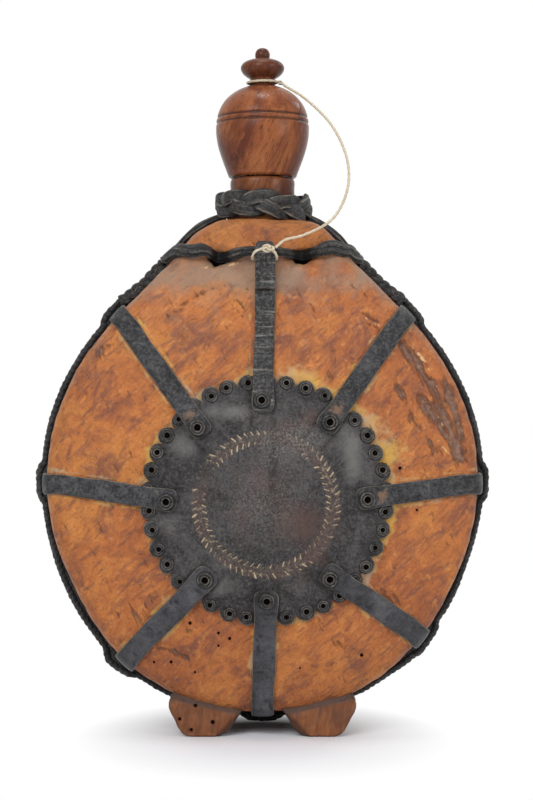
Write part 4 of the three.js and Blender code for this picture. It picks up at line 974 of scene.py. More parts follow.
# Hollow with its thread, then lip, belly, shoulder, neck, finial and bead as one turned profile
def makeCap():
    f = capForm
    base, wide, neck, knob, bead = (f[key] for key in ("base", "belly", "neck", "finial", "bead"))
    wideUp, neckUp = f["bellyUp"], f["shoulderUp"]
    rise, neckEnd = neckUp - wideUp, neckUp + f["neckUp"]
    beadUp = neckEnd + f["finialUp"]
    beadEnd = beadUp + f["beadUp"]
    bellyLine = bezier((base, 0), (base + 2.5, wideUp * 0.3), (wide, wideUp * 0.62), (wide, wideUp), 34)
    bellyLine[0] = (base - 0.1, 0.55)
    shoulderLine = bezier((wide, wideUp), (wide, wideUp + rise * 0.66), (neck * 2.2, neckUp - rise * 0.1),
                          (neck, neckUp), 80)
    neckLine = np.stack([neck - np.array([0.08, 0.0, 0.24]),
                         neckUp + np.array([0.25, 0.5, 0.75]) * f["neckUp"]], 1)
    finialLine = bezier((neck, neckEnd), (knob * 1.3, neckEnd + f["finialUp"] * 0.35),
                        (knob * 1.25, beadUp - f["finialUp"] * 0.1), (bead * 0.9, beadUp), 34)
    beadLine = bezier((bead * 0.9, beadUp), (bead * 1.15, beadUp + f["beadUp"] * 0.4), (bead, beadEnd),
                      (0.02, beadEnd), 18)
    lip = [(base - 0.9, 0.0), (base - 0.4, 0.12)]
    rows = np.vstack([lip, bellyLine, shoulderLine[1:], neckLine, finialLine, beadLine[1:]])
    cut = np.max([np.clip(1 - np.abs(rows[:, 1] - g) / f["grooveWide"], 0, 1) for g in f["grooves"]], 0)
    rows[:, 0] -= f["grooveDeep"] * cut
    inner = np.linspace(0.6, f["hollowTop"] - f["bottom"], 90)
    wall = np.stack([np.full(90, f["bore"]), inner], 1)[::-1]
    under = np.vstack([[(0.02, inner[-1]), (f["bore"] - 0.6, inner[-1])], wall, [(f["bore"] + 0.5, 0.0)]])
    profile = np.vstack([under, rows]) + [0, f["bottom"]]
    p = latheRows(profile, 128)
    groove = (ridge(circle(128), profile[2:92, 1:2], -1.0, thread["turns"] + 0.05, thread["gap"])
              * thread["depth"])
    p[2:92, :, :2] *= (1 + groove / f["bore"])[..., None]
    high = profile[:, 1:2] - f["bottom"]
    # Painted shade in the hollow, the grooves and the neck below the finial; the finial and bead are darker
    darkAndShade = np.concatenate([np.full(len(under), 0.35), cut * 0.95])[:, None]
    darkAndShade = darkAndShade + 0.45 * bell(high - neckUp - 1.5, 2.2) + 0.35 * ease(high, neckEnd - 1, neckEnd + 2)
    return gridPart(p, {"darkAndShade": np.clip(darkAndShade, 0, 1)})


mouth = {"flange": [(5.0, 229.5), (8.7, 229.5), (9.1, 229.9), (9.1, 253.6), (14.6, 253.6), (15.4, 254.0),
                    (15.6, 254.8), (15.6, 262.5), (15.75, 264.6), (15.6, 265.9), (15.1, 266.7),
                    (14.2, 267.0)],
         "lip": [(7.4, 282.6), (7.4, 288.7), (7.1, 289.3), (6.4, 289.5), (5.2, 289.5)],
         "threadRun": (267.0, 282.5), "bore": 4.6, "boreRun": (289.0, 230.0)}


# Flange, threaded core, lip and bore as one turned profile; the thread swells the core
def makeMouthpiece():
    up, down = np.linspace(*mouth["threadRun"], 80), np.linspace(*mouth["boreRun"], 14)
    core = np.stack([np.full(80, thread["core"]), up], 1)
    bore = np.stack([np.full(14, mouth["bore"]), down], 1)
    profile = np.vstack([mouth["flange"], core, mouth["lip"], bore])
    p = latheRows(profile, 112)
    threaded = slice(len(mouth["flange"]), len(mouth["flange"]) + 80)
    stand = ridge(circle(112), up[:, None], 0.0, thread["turns"], 0.0) * thread["depth"] / thread["core"]
    p[threaded, :, :2] *= (1 + stand)[..., None]
    # Darker overall and more so on the threaded part, with painted shade in the bore
    darkAndShade = np.where(profile[:, 1] > 266.4, 0.5, 0.36) + np.where(profile[:, 0] < 5, 0.3, 0)
    return gridPart(p, {"darkAndShade": darkAndShade[:, None]}, wrapRows=True)


makePiece("screwCap", [makeCap()], turnedWood, "cap", ["cap"])
makePiece("threadedMouthpiece", [makeMouthpiece()], turnedWood, "flask", ["mouthpiece"])
print("cap and mouthpiece turned")


# Medallion: a disc on the dome with a lobed and finely pinked edge, swollen outside the stamped ring.
# Stamping is two rows of short slanted teeth, inside and outside a double ring; the middle is left bare.
# Lost is where the stamping is worn off: degrees, width, share.
stamp = {"x": -0.3, "z": -1.6, "inner": (27.6, 30.0), "outer": (32.0, 34.7), "teeth": (62, 70),
         "lost": [(75, 13, 0.95), (158, 15, 0.75), (-48, 14, 0.35), (107, 12, -0.3)]}
edgeStud = {"ring": 55.2, "radius": 3.45, "height": 1.1, "lobeRing": 54.6, "lobe": 4.4, "notch": 54.6}
# Dusty places with a painted sheen, stained, grainy and worn places, in the photo's pixels: middle, half
# width, half height, strength. Worn also takes painted shade near the rim and beside the straps.
medalSpots = {
    "dustAndSheen": [(231, 412, 22, 9, 1.0), (184, 444, 15, 14, 0.75), (352, 455, 9, 26, 0.95),
              (345, 430, 10, 10, 0.5), (222, 585, 16, 14, 0.45), (300, 590, 18, 12, 0.4),
              (168, 520, 12, 20, 0.4)],
    "brown": [(298, 522, 30, 22, 0.95), (262, 500, 38, 34, 0.6), (300, 575, 26, 14, 0.5),
              (340, 520, 12, 26, 0.4), (240, 480, 20, 14, 0.4), (312, 420, 16, 10, 0.8),
              (285, 425, 14, 8, 0.6), (320, 560, 12, 10, 0.7), (250, 545, 24, 8, 0.3)],
    "grain": [(296, 436, 26, 15, 0.9), (272, 455, 14, 20, 0.8), (250, 415, 20, 8, 0.5),
              (265, 500, 34, 36, 0.6)],
    "worn": [(273, 474, 5, 30, 0.9), (205, 465, 8, 22, 0.6), (160, 545, 10, 18, 0.5),
             (370, 545, 9, 16, 0.4), (255, 395, 40, 6, 0.4)]}
pixelSize = 0.465  # mm to a pixel of the photo, at the face


# Strength over oval spots: the highest of one bell curve for each
def spotField(x, z, spots):
    field = np.zeros_like(x)
    for px, py, wide, high, strength in spots:
        sx, sz = seenAt(px, py)
        away = np.hypot((x - sx) / (wide * pixelSize), (z - sz) / (high * pixelSize))
        field = np.maximum(field, strength * bell(away, 1.1))
    return field


# Angle within a lobe, from its middle
def lobeAngle(turn):
    step = 2 * np.pi / medallion["count"]
    return (turn / step % 1 - 0.5) * step


def makeMedallion(side, seed):
    columns = 912
    turn = np.arange(columns) / columns * 2 * np.pi
    off = edgeStud["lobeRing"] * np.sin(lobeAngle(turn))
    lobe = (edgeStud["lobeRing"] * np.cos(lobeAngle(turn))
            + np.sqrt(np.maximum(edgeStud["lobe"] ** 2 - off**2, 0)))
    rough = uneven(np.stack([60 * np.cos(turn), 0 * turn, 60 * np.sin(turn)], -1), 13, seed)
    pinked = 0.50 * np.abs(np.sin(turn * medallion["count"] * 4.5)) - 0.25
    edge = np.maximum(lobe, edgeStud["notch"]) + pinked + 0.55 * rough
    share = np.concatenate([[0.01, 0.08, 0.16, 0.24, 0.32, 0.40], np.linspace(0.455, 0.66, 44),
                            np.linspace(0.69, 0.92, 20), [0.94, 0.955, 0.97, 0.985, 0.995, 1]])[:, None]
    r = share * (medallion["radius"] + (edge - medallion["radius"]) * ease(share, 0.80, 0.97))
    x, z = medalAt(r, turn)
    p = np.stack([x, 0 * x, z], -1)
    fromX, fromZ = x - medallion["x"], z - medallion["z"]
    rs = np.hypot(fromX - stamp["x"], fromZ - stamp["z"])
    ts = np.arctan2(fromZ - stamp["z"], fromX - stamp["x"])
    left = 1 + 0.25 * uneven(p, 14, seed + 1)
    for at, wide, lost in stamp["lost"]:
        left = left - lost * bell(np.degrees(ts) - at, wide)
    gold, press = np.zeros_like(rs), np.zeros_like(rs)
    for (low, high), count, lean in zip((stamp["inner"], stamp["outer"]), stamp["teeth"], (0.45, -0.45)):
        across = (rs - low) / (high - low)
        place = ts * count / (2 * np.pi) + lean * across
        tooth = np.abs(place % 1 - 0.5) * 2
        chance = np.sin(np.floor(place) * 12.9898 + count) * 43758.5453 % 1
        inside = ease(across, -0.05, 0.15) * (1 - ease(across, 0.75 + 0.25 * chance, 1.05))
        gold = np.maximum(gold, inside * (1 - ease(tooth, 0.10, 0.40)) * (0.42 + 0.50 * chance) * left)
        press = np.maximum(press, inside * (1 - ease(tooth, 0.35, 0.8)))
    band = bell(rs - 31.2, 3.6, 4)
    gold = np.maximum(gold, 0.20 * band * left)
    fromStrap = np.full_like(rs, 99.0)
    for direction in rad([rosette for rim, rosette in strapPlaces.values()] + [topRosette]):
        beside = np.abs(fromX * np.sin(direction) - fromZ * np.cos(direction))
        ahead = fromX * np.cos(direction) + fromZ * np.sin(direction) > 0
        fromStrap = np.where(ahead, np.minimum(fromStrap, beside), fromStrap)
    swell = 0.85 * bell(rs - 43, 6.0) * ease(fromStrap, 6, 13) * (0.75 + 0.5 * uneven(p, 30, seed + 2))
    swell = swell + (0.22 * uneven(p, 14, seed + 3) + 0.14 * uneven(p, 5, seed + 4)) * ease(fromStrap, 5, 9)
    swell = (swell * (1 - ease(share, 0.88, 0.94)) - 0.30 * press - 0.15 * band
             - 0.7 * ease(share, 0.965, 1.0) ** 2)
    lift = form["gap"] + medallion["thick"] + swell
    top = onFace(x, z, side, lift)
    inward = lambda k: (medallion["x"] + fromX[-1:] * k, medallion["z"] + fromZ[-1:] * k)
    low = onFace(*inward(1.0), side, form["gap"] + 0.35)
    bottom = onFace(*inward(np.array([[0.985], [0.5], [0.02]])), side, form["gap"])
    seen = 1.0 if side < 0 else 0.6
    fields = {key: spotField(x, z, spots) * seen for key, spots in medalSpots.items()}
    fields["gold"] = gold
    fields["brown"] += 0.55 * band
    fields["grain"] += 0.3 * band
    # Painted shade near the rim and in a band beside each strap, on top of the dark worn spots
    fields["worn"] += 0.45 * ease(share, 0.87, 0.93) + 0.75 * bell(fromStrap - 5.2, 1.3) * ease(rs, 34, 38)
    marks = {key: np.vstack([np.clip(field, 0, 1), np.zeros((4, columns))]) for key, field in fields.items()}
    rubbed = 0.8 * ease(share, 0.975, 1.0) * np.ones_like(x)
    marks["edge"] = np.vstack([rubbed, np.full((1, columns), 0.5), np.zeros((3, columns))])
    marks["hole"] = 0.0
    return gridPart(np.concatenate([top, low, bottom]), marks)


# Stud: a dished ring with a punched hole, turned about the face's normal; shares of radius and of height
studProfile = np.array([(0.02, 0.15), (0.33, 0.15), (0.36, 0.55), (0.40, 0.85), (0.48, 0.92), (0.55, 0.70),
                        (0.62, 0.62), (0.69, 0.86), (0.78, 0.90), (0.88, 0.58), (0.97, 0.18), (1.0, -0.3)])


def studPart(x, z, side, base, radius, height, sides, pinked=0.0):
    lean = 2 * form["fall"] / form["radius"] ** 2
    normal = unit(np.array([lean * x, side, lean * (z - form["axis"])]))
    across = unit(np.cross(normal, [0, 0, 1.0]))
    up = np.cross(across, normal)
    a = circle(sides)
    ring = np.cos(a)[:, None] * across + np.sin(a)[:, None] * up
    share = studProfile[:, :1]
    r = share * radius * (1 + pinked * (share > 0.9) * np.cos(a * sides / 2))
    h = studProfile[:, 1] * height
    p = onFace(x, z, side, base) + r[..., None] * ring + h[:, None, None] * normal
    # Painted shade in the punched hole, in the dip of the ring and round its foot; the near-black disc at
    # the hole's bottom is painted shade as well
    darkAndShade = (share < 0.35) + 0.7 * bell(share - 0.58, 0.05) + 0.8 * ease(share, 0.90, 0.99)
    marks = {"edge": 0.75 * bell(share - 0.46, 0.06) + 0.65 * bell(share - 0.76, 0.06),
             "hole": np.clip(darkAndShade, 0, 1)}
    holeShadeDisc = p[:2] + normal * 0.06
    return gridPart(p, marks), gridPart(np.concatenate([holeShadeDisc, p[1:2] * 0.999 + p[0:1].mean(1) * 0.001]))


# A stud in the middle of each lobe, a little off its place and size
def edgeStuds(side, seed):
    dice = np.random.default_rng(seed)
    step = 2 * np.pi / medallion["count"]
    parts = []
    turns = step * (np.arange(medallion["count"]) + 0.5)
    for turn, size in zip(turns, dice.uniform(0.86, 1.08, medallion["count"])):
        reach = edgeStud["ring"] + dice.uniform(-0.5, 0.4)
        turn = turn + dice.uniform(-0.014, 0.014)
        x, z = medalAt(reach, turn)
        base = form["gap"] + medallion["thick"] - 0.12
        parts.append(studPart(x, z, side, base, edgeStud["radius"] * size, edgeStud["height"], 24, 0.04))
    return parts


for face, side, seed in (("front", -1, 50), ("back", 1, 70)):
    leatherPiece(face + "Medallion", [makeMedallion(side, seed)], leather["medallion"], face + "_medallion")
    studs, holeShadeDiscs = zip(*edgeStuds(side, seed))
    leatherPiece(face + "EdgeStuds", studs, leather["stud"])
    leatherPiece(face + "EdgeStudHoleShade", holeShadeDiscs, holeDark)
print("medallions stamped")


# Straps: a crowned band with rounded edges carried from the front medallion over the rim to the back one.
# Each end is blunt and rounded, a little flared and finely pinked. Half widths in mm as seen in the photo.
strapHalf = {"upper_right": 4.9, "right": 4.9, "lower_right": 5.3, "bottom": 5.35, "lower_left": 5.4,
             "left": 4.85, "upper_left": 4.85, "top": 4.75}


# Section of a strap: an oval squared off by powers of cosine and sine
def sectionRing(count):
    a = circle(count)
    flat = lambda v, power: np.sign(v) * np.abs(v) ** power
    return flat(np.cos(a), 0.42), flat(np.sin(a), 0.55)


# Half width along a strap from its end: blunt, flared, with fine waves at the end only
def lobeWidth(s, half):
    blunt = (1 - np.abs(1 - np.minimum(s, 4.5) / 4.5) ** 3) ** (1 / 3)
    pinked = 0.16 * np.sin(s * 2 * np.pi / 1.3) * (1 - ease(s, 8, 11)) * ease(s, 0.3, 1.2)
    return blunt * (half + 0.4 * bell(s - 5, 4)) + pinked


def makeStrap(rim, rosette, half, seed):
    start, stop = strapLine(rim, rosette)
    start = start + unit(stop - start) * 0.9
    length = np.linalg.norm(stop - start)
    along = (stop - start) / length
    across = np.array([along[1], -along[0]])
    s = np.concatenate([6 * (1 - np.cos(np.linspace(0.08, np.pi / 2, 14))), np.linspace(6.5, 13, 16),
                        np.linspace(13.8, length, 60)])
    o, h = sectionRing(28)
    wide, place = lobeWidth(s, half), start + s[:, None] * along
    wave = np.stack([place[:, 0], 0 * s, place[:, 1]], 1)
    wide = wide * (1 + 0.035 * uneven(wave, 26, seed)) - 0.12 * np.abs(uneven(wave, 6, seed + 1))
    high = strapForm["thick"] * (0.5 + 0.5 * h) - 0.12 * o**2 * (h > 0)

    def face(side):
        wander = 0.3 * uneven(wave, 40, seed + 2) * ease(s, 8, 30) * (1 - ease(s, length - 15, length))
        mid = place + wander[:, None] * across
        spot = mid[:, None] + (wide[:, None] * o)[..., None] * across
        lift = strapLift(place[:, 0], place[:, 1])[:, None]
        puff = 0.10 * uneven(wave, 17, seed + 3)[:, None] * ease(s, 10, 20)[:, None] * (h > 0)
        return onFace(spot[..., 0], spot[..., 1], side, lift + high + puff)

    swing = np.degrees(half / reachOf(rim)) * o[None]
    share, rimPlace = np.linspace(0.06, 0.97, 14)[:, None], np.linspace(-1, 1, 34)[:, None]
    lift = form["gap"] + high[None]
    edge = lambda side: onEdge(rim - swing + 0 * share, share + 0 * swing, side, lift + 0 * share)
    rimRows = onRim(rim - swing + 0 * rimPlace, rimPlace + 0 * swing, lift + 0 * rimPlace)
    p = np.concatenate([face(-1), edge(-1), rimRows, edge(1)[::-1], face(1)[::-1]])
    for turn in range(5):
        p[31:-31] = (p[30:-32] + 2 * p[31:-31] + p[32:-30]) / 4
    rows = np.arange(len(p))
    near = np.minimum(rows, rows[-1] - rows)[:, None]
    edgeMark = ease(np.abs(o), 0.90, 1.0)[None] * (0.60 + 0.40 * (h > -0.4)) + 0.30 * np.exp(-near / 5.0)
    tan = 0.85 * bell(near - 27, 7.0) * (1 - 0.6 * np.abs(o)) * (h > 0) * (rosette > -30)
    return gridPart(p, {"edge": np.clip(edgeMark, 0, 1), "hole": 0.0, "tan": tan}, (1, len(p) / 28))


for i, (name, (rim, rosette)) in enumerate(strapPlaces.items()):
    finish = leather["smooth"] if rim < -40 and rim > -140 else leather["strap"]
    leatherPiece("strap." + name, [makeStrap(rim, rosette, strapHalf[name], 100 + 7 * i)], finish,
                 "strap_" + name)


# Top strap: up the face from the medallion, behind the thong, folded over it and down again as a flap
def makeTopStrap(side, seed):
    bend = thongForm["radius"] + thongForm["fold"] + strapForm["thick"] / 2
    bottom = medallion["z"] + strapForm["reach"] - strapForm["end"]
    z = np.linspace(bottom, thongForm["z"] - thongForm["radius"], 26)
    place, normal, _, _ = faceFrame(z, side)
    lift = strapLift(0.0, z) + strapForm["thick"] / 2
    _, hubNormal, hubUp, _ = faceFrame(np.array(thongForm["z"]), side)
    turn = np.linspace(0, np.pi, 9)[:, None]
    fold = thongMiddle(side) + bend * (-np.cos(turn) * hubNormal + np.sin(turn) * hubUp)
    below = np.array([0.14, 0.28, 0.42, 0.6, 0.8, 1]) * strapForm["flap"]
    flapPlace, flapNormal, _, _ = frameBelow(below, side)
    flap = flapPlace + flapHeight(below)[:, None] * flapNormal
    path = smoothPath(np.vstack([place + lift[:, None] * normal, fold, flap]), 190)
    run = runOf(path)
    out = np.cross(headings(path), [1.0, 0, 0]) * -side
    o, h = sectionRing(28)
    apex = np.argmax(path[:, 2])
    wide = lobeWidth(run, strapHalf["top"]) * (1 + 0.03 * uneven(path, 24, seed))
    wide = wide - 0.9 * bell(run - run[apex], 3.5) - 0.6 * ease(run, run[-1] - 1.2, run[-1])
    shift = 0.25 * uneven(path * [0, 1, 1], 50, seed + 1) * ease(run, 10, 25)
    shift = shift + ease(path[:, 2], 165, 222) * 0.9 + 0.3
    crease = 0.10 * np.sin(run * 2 * np.pi / 3.1 + 1.2 * np.sin(run * 0.35)) * ease(run, 14, 24)
    sideways = (shift[:, None] + wide[:, None] * o)[..., None] * np.array([1.0, 0, 0])
    over = (strapForm["thick"] / 2 * h + crease[:, None] * (np.abs(h) > 0.5))[..., None] * out[:, None]
    p = path[:, None] + sideways + over
    edgeMark = (ease(np.abs(o), 0.90, 1.0)[None] * 0.8 + 0.5 * np.exp(-run / 5)[:, None]
                + 0.6 * np.exp(-(run[-1] - run) / 1.5)[:, None])
    return gridPart(p, {"edge": np.clip(edgeMark, 0, 1), "hole": 0.0}, (1, 7))


rosetteForm = {"radius": 4.2, "height": 2.1, "sides": 40, "pinked": 0.015}
for face, side in (("front", -1), ("back", 1)):
    leatherPiece(face + "TopStrap", [makeTopStrap(side, 160)], leather["cracked"], face + "_top_strap")
    rosetteHoleShades = []
    for name, direction in [("top", topRosette)] + [(n, v[1]) for n, v in strapPlaces.items()]:
        x, z = medalAt(strapForm["reach"], rad(direction))
        base = strapLift(x, z) + strapForm["thick"] - 0.05
        stud, holeShadeDisc = studPart(x, z, side, base, *rosetteForm.values())
        leatherPiece(face + "Rosette." + name, [stud], leather["stud"], face + "_rosette_" + name)
        rosetteHoleShades.append(holeShadeDisc)
    leatherPiece(face + "RosetteHoleShade", rosetteHoleShades, holeDark)
print("straps and rosettes made")


# Cords: rim cord, shoulder braids, thongs and collar. A plait is its swing, dip, width and thickness.
# Where the rim cord stands off the wood: degrees, spread, mm.
cordForm = {"radius": 2.4, "start": 37.8, "period": 9.0, "plait": (1.15, 0.45, 1.6, 1.65), "core": 2.3,
            "sunk": 0.6, "standsOff": [(-146, 17, 1.9), (-34, 9, 1.1)], "atBraid": (39, 4.0, 1.7)}
braidForm = {"thick": 2.8, "forward": 6.0, "start": 23.96, "end": 38.1, "plait": (1.75, 1.0, 1.65, 1.15),
             "period": 12.5, "strand": (2.6, 2.0), "plaitY": -4.2, "strandY": 2.4,
             "tuckAt": (0, 0.2, 0.5, 1), "tuck": (1.5, 0.4, -1.0, -0.9)}


# Rim cord: a close plait over a plain core that fills the room down to the wood, or to a strap
def rimCordParts():
    d = np.linspace(90 - cordForm["start"], -270 + cordForm["start"], 1500)
    rise, under = np.zeros_like(d), np.zeros_like(d)
    for rim, _ in strapPlaces.values():
        away = rad(np.abs((d - rim + 540) % 360 - 180)) * reachOf(d)
        rise = np.maximum(rise, bell(away, 8.2, 6))
        under = np.maximum(under, bell(away, 5.2, 24))
    lift = form["gap"] + cordForm["radius"] + rise * (strapForm["thick"] + 1.2 * form["gap"])
    for at, wide, most in cordForm["standsOff"]:
        lift = lift + most * bell(d - at, wide)
    at, wide, most = cordForm["atBraid"]
    lift = lift + most * bell(np.abs((d + 270) % 360 - 180) - at, wide)
    path = onRim(d, 0.0 * d, lift)
    low = under * (strapForm["thick"] + 1.2) - cordForm["sunk"]
    core, half = onRim(d, 0.0 * d, (low + lift) / 2)[::3], ((lift - low) / 2)[::3]
    rough = 1 + 0.05 * uneven(core, 7, 205)[:, None]
    corePoints = tubePoints(core, outward(core), cordForm["core"], half, 10, swell=rough)
    # The core, deep under the plait, gets painted shade
    corePart = gridPart(corePoints, {"edge": 0.0, "hole": 0.45}, (4, 120))
    plait = plaitParts(path, outward(path), *cordForm["plait"], cordForm["period"], 10, seed=200, top=0.35)
    return plait + [corePart]


# Shoulder braid: a herringbone plait laid forward on the rim, and a plain strand behind it at the outline
def shoulderBraidParts(hand):
    share, f = np.linspace(0, 1, 7), braidForm
    d = 90 - hand * (f["end"] + (f["start"] - f["end"]) * share)
    place = -f["forward"] * ease(share, 0, 1) / edgeAt(d)[3]
    path = smoothPath(onRim(d, place, 1.5 * form["gap"] + f["thick"]), 160)
    radial = unit(path * [1, 0, 1] - [0, 0, form["axis"]])
    tuck = np.interp(np.linspace(0, 1, len(path)), f["tuckAt"], f["tuck"])[:, None] * radial
    front = path + np.array([0, f["plaitY"], 0]) - 0.5 * radial + tuck
    back = path + np.array([0, f["strandY"], 0]) + 0.4 * radial + tuck
    plait = plaitParts(front, np.array([0, -1.0, 0]) + 0.45 * radial, *f["plait"], f["period"], 20,
                       seed=230 + hand, crease=0.8, top=0.25, fibres=7.0, flat=0.7)
    return plait + [stripPart(back, *f["strand"], 240 + hand)]


# Thong: a creased flat strip, closed round both shoulders; in front it dives through the two pits
def thongPath(count):
    t, gap = thongForm, form["gap"]
    lift = gap + t["radius"]
    off = lambda side: abs(thongMiddle(side)[1]) - halfAt(t["z"] - form["axis"])

    def quarter(hand, side):
        at = 90 - hand * t["angle"]
        pit = wood["pits"][hand] if side < 0 else (hand * t["hollowX"], t["hollowZ"])
        upX, upZ, slant = t["shoulder"]
        intoX, intoZ = t["intoPit"]
        rimPoints = [onRim(at, np.array(share * side), lift) for share in (0.5, 0.9)]
        edgePoints = [onEdge(np.array(at + hand * on), np.array(share), side, lift - t["press"])
                      for on, share in t["overEdge"]]
        return [*rimPoints, *edgePoints, onFace(hand * upX, upZ + slant * hand, side, lift + gap / 2),
                onFace(hand * (t["hollowX"] + intoX), t["hollowZ"] + intoZ, side, lift + gap),
                onFace(*pit, side, -t["pitDeep"]),
                onFace(hand * (strapForm["width"] / 2 + t["radius"]), t["z"], side, off(side))]

    rimRight, rimLeft = (onRim(90 - hand * t["angle"], np.array(0.0), lift) for hand in (1, -1))
    points = [rimRight, *quarter(1, -1), thongMiddle(-1), *quarter(-1, -1)[::-1],
              rimLeft, *quarter(-1, 1), thongMiddle(1), *quarter(1, 1)[::-1]]
    return smoothPath(points, count, True)


# Strip along a path: an oval with folds along it, leaning to and fro; the folds' troughs get painted shade,
# and deep adds painted shade to what lies under the wood
def stripPart(path, wide, thick, seed, loop=False, sides=36, deep=0.0):
    a = circle(sides)
    run = runOf(path)[:, None]
    fold = np.cos(6 * a + 1.8 * uneven(path, 26, seed)[:, None])
    fine = np.cos(13 * a + 2.0 * uneven(path, 17, seed + 1)[:, None])
    swell = 1 + 0.08 * fold + 0.04 * fine + 0.07 * uneven(path, 12, seed + 2)[:, None]
    p = tubePoints(path, outward(path), wide, thick, sides, 0.30 * uneven(path, 30, seed + 3), loop, swell)
    deep = np.broadcast_to(np.asarray(deep, float).reshape(-1, 1), (len(path), 1))
    marks = {"edge": np.clip(0.6 * ease(fold, 0.6, 1.0) + 0.3 * fine, 0, 1) + 0 * run,
             "hole": np.clip(0.85 * ease(-fold, 0.55, 1.0) + deep, 0, 1) + 0 * run}
    return gridPart(p, marks, (4, run[-1, 0] / 9), loop)


# Collar: a plait of broad strands closed round the neck, sagging a little to the right
collar = {"radius": 21.3, "side": 0.55, "z": 253.4, "sag": 2.6, "swing": 3.3, "dip": 1.5, "wide": 3.35,
          "thick": 0.95, "period": 44.0}


def collarParts():
    t = circle(460)
    sag = collar["sag"] * bell((t - 5.55 + np.pi) % (2 * np.pi) - np.pi, 0.55)
    path = np.stack([collar["side"] + collar["radius"] * np.cos(t), collar["radius"] * np.sin(t),
                     collar["z"] - sag], 1)
    out = np.stack([np.cos(t), np.sin(t), 0 * t], 1)
    size = (collar[key] for key in ("swing", "dip", "wide", "thick", "period"))
    return plaitParts(path, out, *size, 40, True, 0.9, 260, crease=1.3, top=0.12, fibres=12.0, flat=0.55)


# Neck thong: from inside the collar, out of its underside, down along the rim to the shoulder thong
neckThong = {"radius": 2.1, "leaves": -62, "collarX": 20.4, "collarZ": 253.9, "oval": (3.5, 6.8), "inX": 4.9,
             "inZ": 1.1, "strip": (2.05, 1.95)}


def neckThongPath(hand):
    f, gap, radius, (a, b) = neckThong, form["gap"], neckThong["radius"], neckThong["oval"]
    down = rad(f["leaves"])
    normal = unit(np.array([hand * np.cos(down) / a, 0, np.sin(down) / b]))
    start = np.array([hand * (f["collarX"] + a * np.cos(down)), 0, f["collarZ"] + b * np.sin(down)])
    start = start + normal * (gap + 0.2 * radius)
    zero, angle = np.array(0.0), thongForm["angle"]
    upper = onRim(90 - hand * angle * 0.6, zero, 2.4 * gap + radius)
    lower = onRim(90 - hand * angle * 0.75, zero, 2.5 * gap + radius)
    hub = onRim(90 - hand * angle, zero, gap + thongForm["radius"])
    end = hub + unit(lower - hub) * (thongForm["radius"] + 1.2 * gap)
    tucked = start + np.array([-f["inX"] * hand, 0, f["inZ"]])
    return smoothPath([tucked, start + [0, 0, 0.3], upper, lower, end], 70)


leatherPiece("rimCord", rimCordParts(), leather["cord"], "rim_cord")
for name, hand in (("left", -1), ("right", 1)):
    leatherPiece("shoulderBraid." + name, shoulderBraidParts(hand), leather["cord"],
                 "shoulder_braid_" + name)
    thongStrip = stripPart(neckThongPath(hand), *neckThong["strip"], 280 + hand)
    leatherPiece("neckThong." + name, [thongStrip], leather["cord"], "neck_thong_" + name)
strip = thongPath(700)
stripMiddle = bell(strip[:, 0], thongForm["narrowRun"])
stripWide, stripThick = (a - b * stripMiddle for a, b in zip(thongForm["strip"], thongForm["narrower"]))
stripHigh = np.abs(strip[:, 1]) - halfAt(np.hypot(strip[:, 0], strip[:, 2] - form["axis"]))
# Painted shade where the thong dives under the wood into the pits
stripPitShade = (1 - ease(stripHigh, -1.2, 1.8)) * (np.abs(strip[:, 0]) < 30)
leatherPiece("shoulderThong", [stripPart(strip, stripWide, stripThick, 290, True, 48, stripPitShade)],
             leather["cord"], "shoulder_thong")
leatherPiece("neckCollar", collarParts(), leather["cord"], "neck_collar")
print("cords plaited")

# Solids that stay as they are get their finish
for node, finish in (("closing_disc", bodyWood), ("disc_seal", sealWax), ("mouthpiece_seal", rawLeather),
                     ("cap_seal", rawLeather)):
    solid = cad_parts[node]
    solid.data.materials.clear()
    solid.data.materials.append(finish)


# Floor and light. The floor near the object takes its shadow, and fades to plain white away from it.
light = {"world": 0.25, "floorTone": (0.93 * 0.985, 0.93, 0.93 * 1.05), "shadowReach": (0.088, 0.115),
         "shadowMiddle": (0.0, -0.03, 0)}
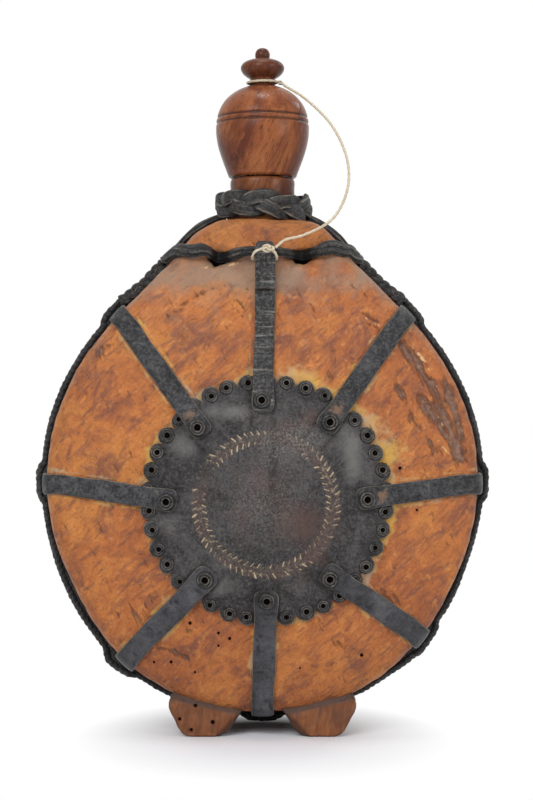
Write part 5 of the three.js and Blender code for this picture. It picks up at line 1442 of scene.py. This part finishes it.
# Softboxes: place, size, power
softboxes = {"keySoftbox": ((-0.50, -1.25, 0.95), (0.9, 0.9), 14.0),
             "fillSoftbox": ((1.1, -0.9, 0.55), (0.6, 0.9), 6.2),
             "topSoftbox": ((0.0, -0.1, 1.3), (0.28, 0.28), 3.0),
             "rearSoftbox": ((0.9, 0.75, 1.0), (0.16, 0.16), 0.9)}
floorFinish, floorTree, floorShader = newFinish("paleFloor")
floorShader.inputs["Base Color"].default_value = tone(*light["floorTone"])
floorShader.inputs["Roughness"].default_value = 0.9
floorShader.inputs["Specular IOR Level"].default_value = 0.0
floorAt = put(floorTree, "VectorMath", {0: objectAt(floorTree), 1: light["shadowMiddle"]},
              operation="SUBTRACT")
floorAt = laid(floorTree, floorAt.outputs[0], (1 / light["shadowReach"][0], 1 / light["shadowReach"][1], 1))
farOff = put(floorTree, "VectorMath", {0: floorAt}, operation="LENGTH").outputs["Value"]
plainWhite = math(floorTree, "MULTIPLY", seenRay(floorTree), spread(floorTree, farOff, 0.35, 1.0))
white = put(floorTree, "Emission", {"Color": tone(1, 1, 1), "Strength": 1.0})
both = put(floorTree, "MixShader", {0: plainWhite, 1: floorShader.outputs[0], 2: white.outputs[0]})
floorTree.links.new(both.outputs[0], floorTree.nodes["Material Output"].inputs["Surface"])
edgeLine = np.linspace(-3000, 3000, 5)
gx, gy = np.meshgrid(edgeLine, edgeLine, indexing="ij")
floorPart = gridPart(np.stack([gx, gy, 0 * gx - 0.05], -1), wrapCols=False)
across, along = np.diff(floorPart["points"][floorPart["quads"][0, :3]], axis=0)
if np.cross(across, along)[2] < 0:
    floorPart["quads"] = floorPart["quads"][:, ::-1]
floor = makePiece("floor", [floorPart], floorFinish)

world = bpy.data.worlds.new("studio")
scene.world = world
world.use_nodes = True
sky = world.node_tree
sky.nodes["Background"].inputs["Color"].default_value = tone(1, 1, 1)
sky.links.new(spread(sky, seenRay(sky), 0, 1, light["world"], 1.0),
              sky.nodes["Background"].inputs["Strength"])


def areaLight(name, place, size, power):
    lamp = bpy.data.lights.new(name, "AREA")
    lamp.shape, lamp.size, lamp.size_y, lamp.energy = "RECTANGLE", size[0], size[1], power
    holder = bpy.data.objects.new(name, lamp)
    aim = np.array([0, 0, 0.15]) - np.array(place)
    holder.location = place
    tilt, swing = np.arctan2(np.hypot(aim[0], aim[1]), -aim[2]), np.arctan2(aim[0], -aim[1]) + np.pi
    holder.rotation_euler = (tilt, 0, swing)
    scene.collection.objects.link(holder)


for name, (place, size, power) in softboxes.items():
    areaLight(name, place, size, power)
print("stage lit")
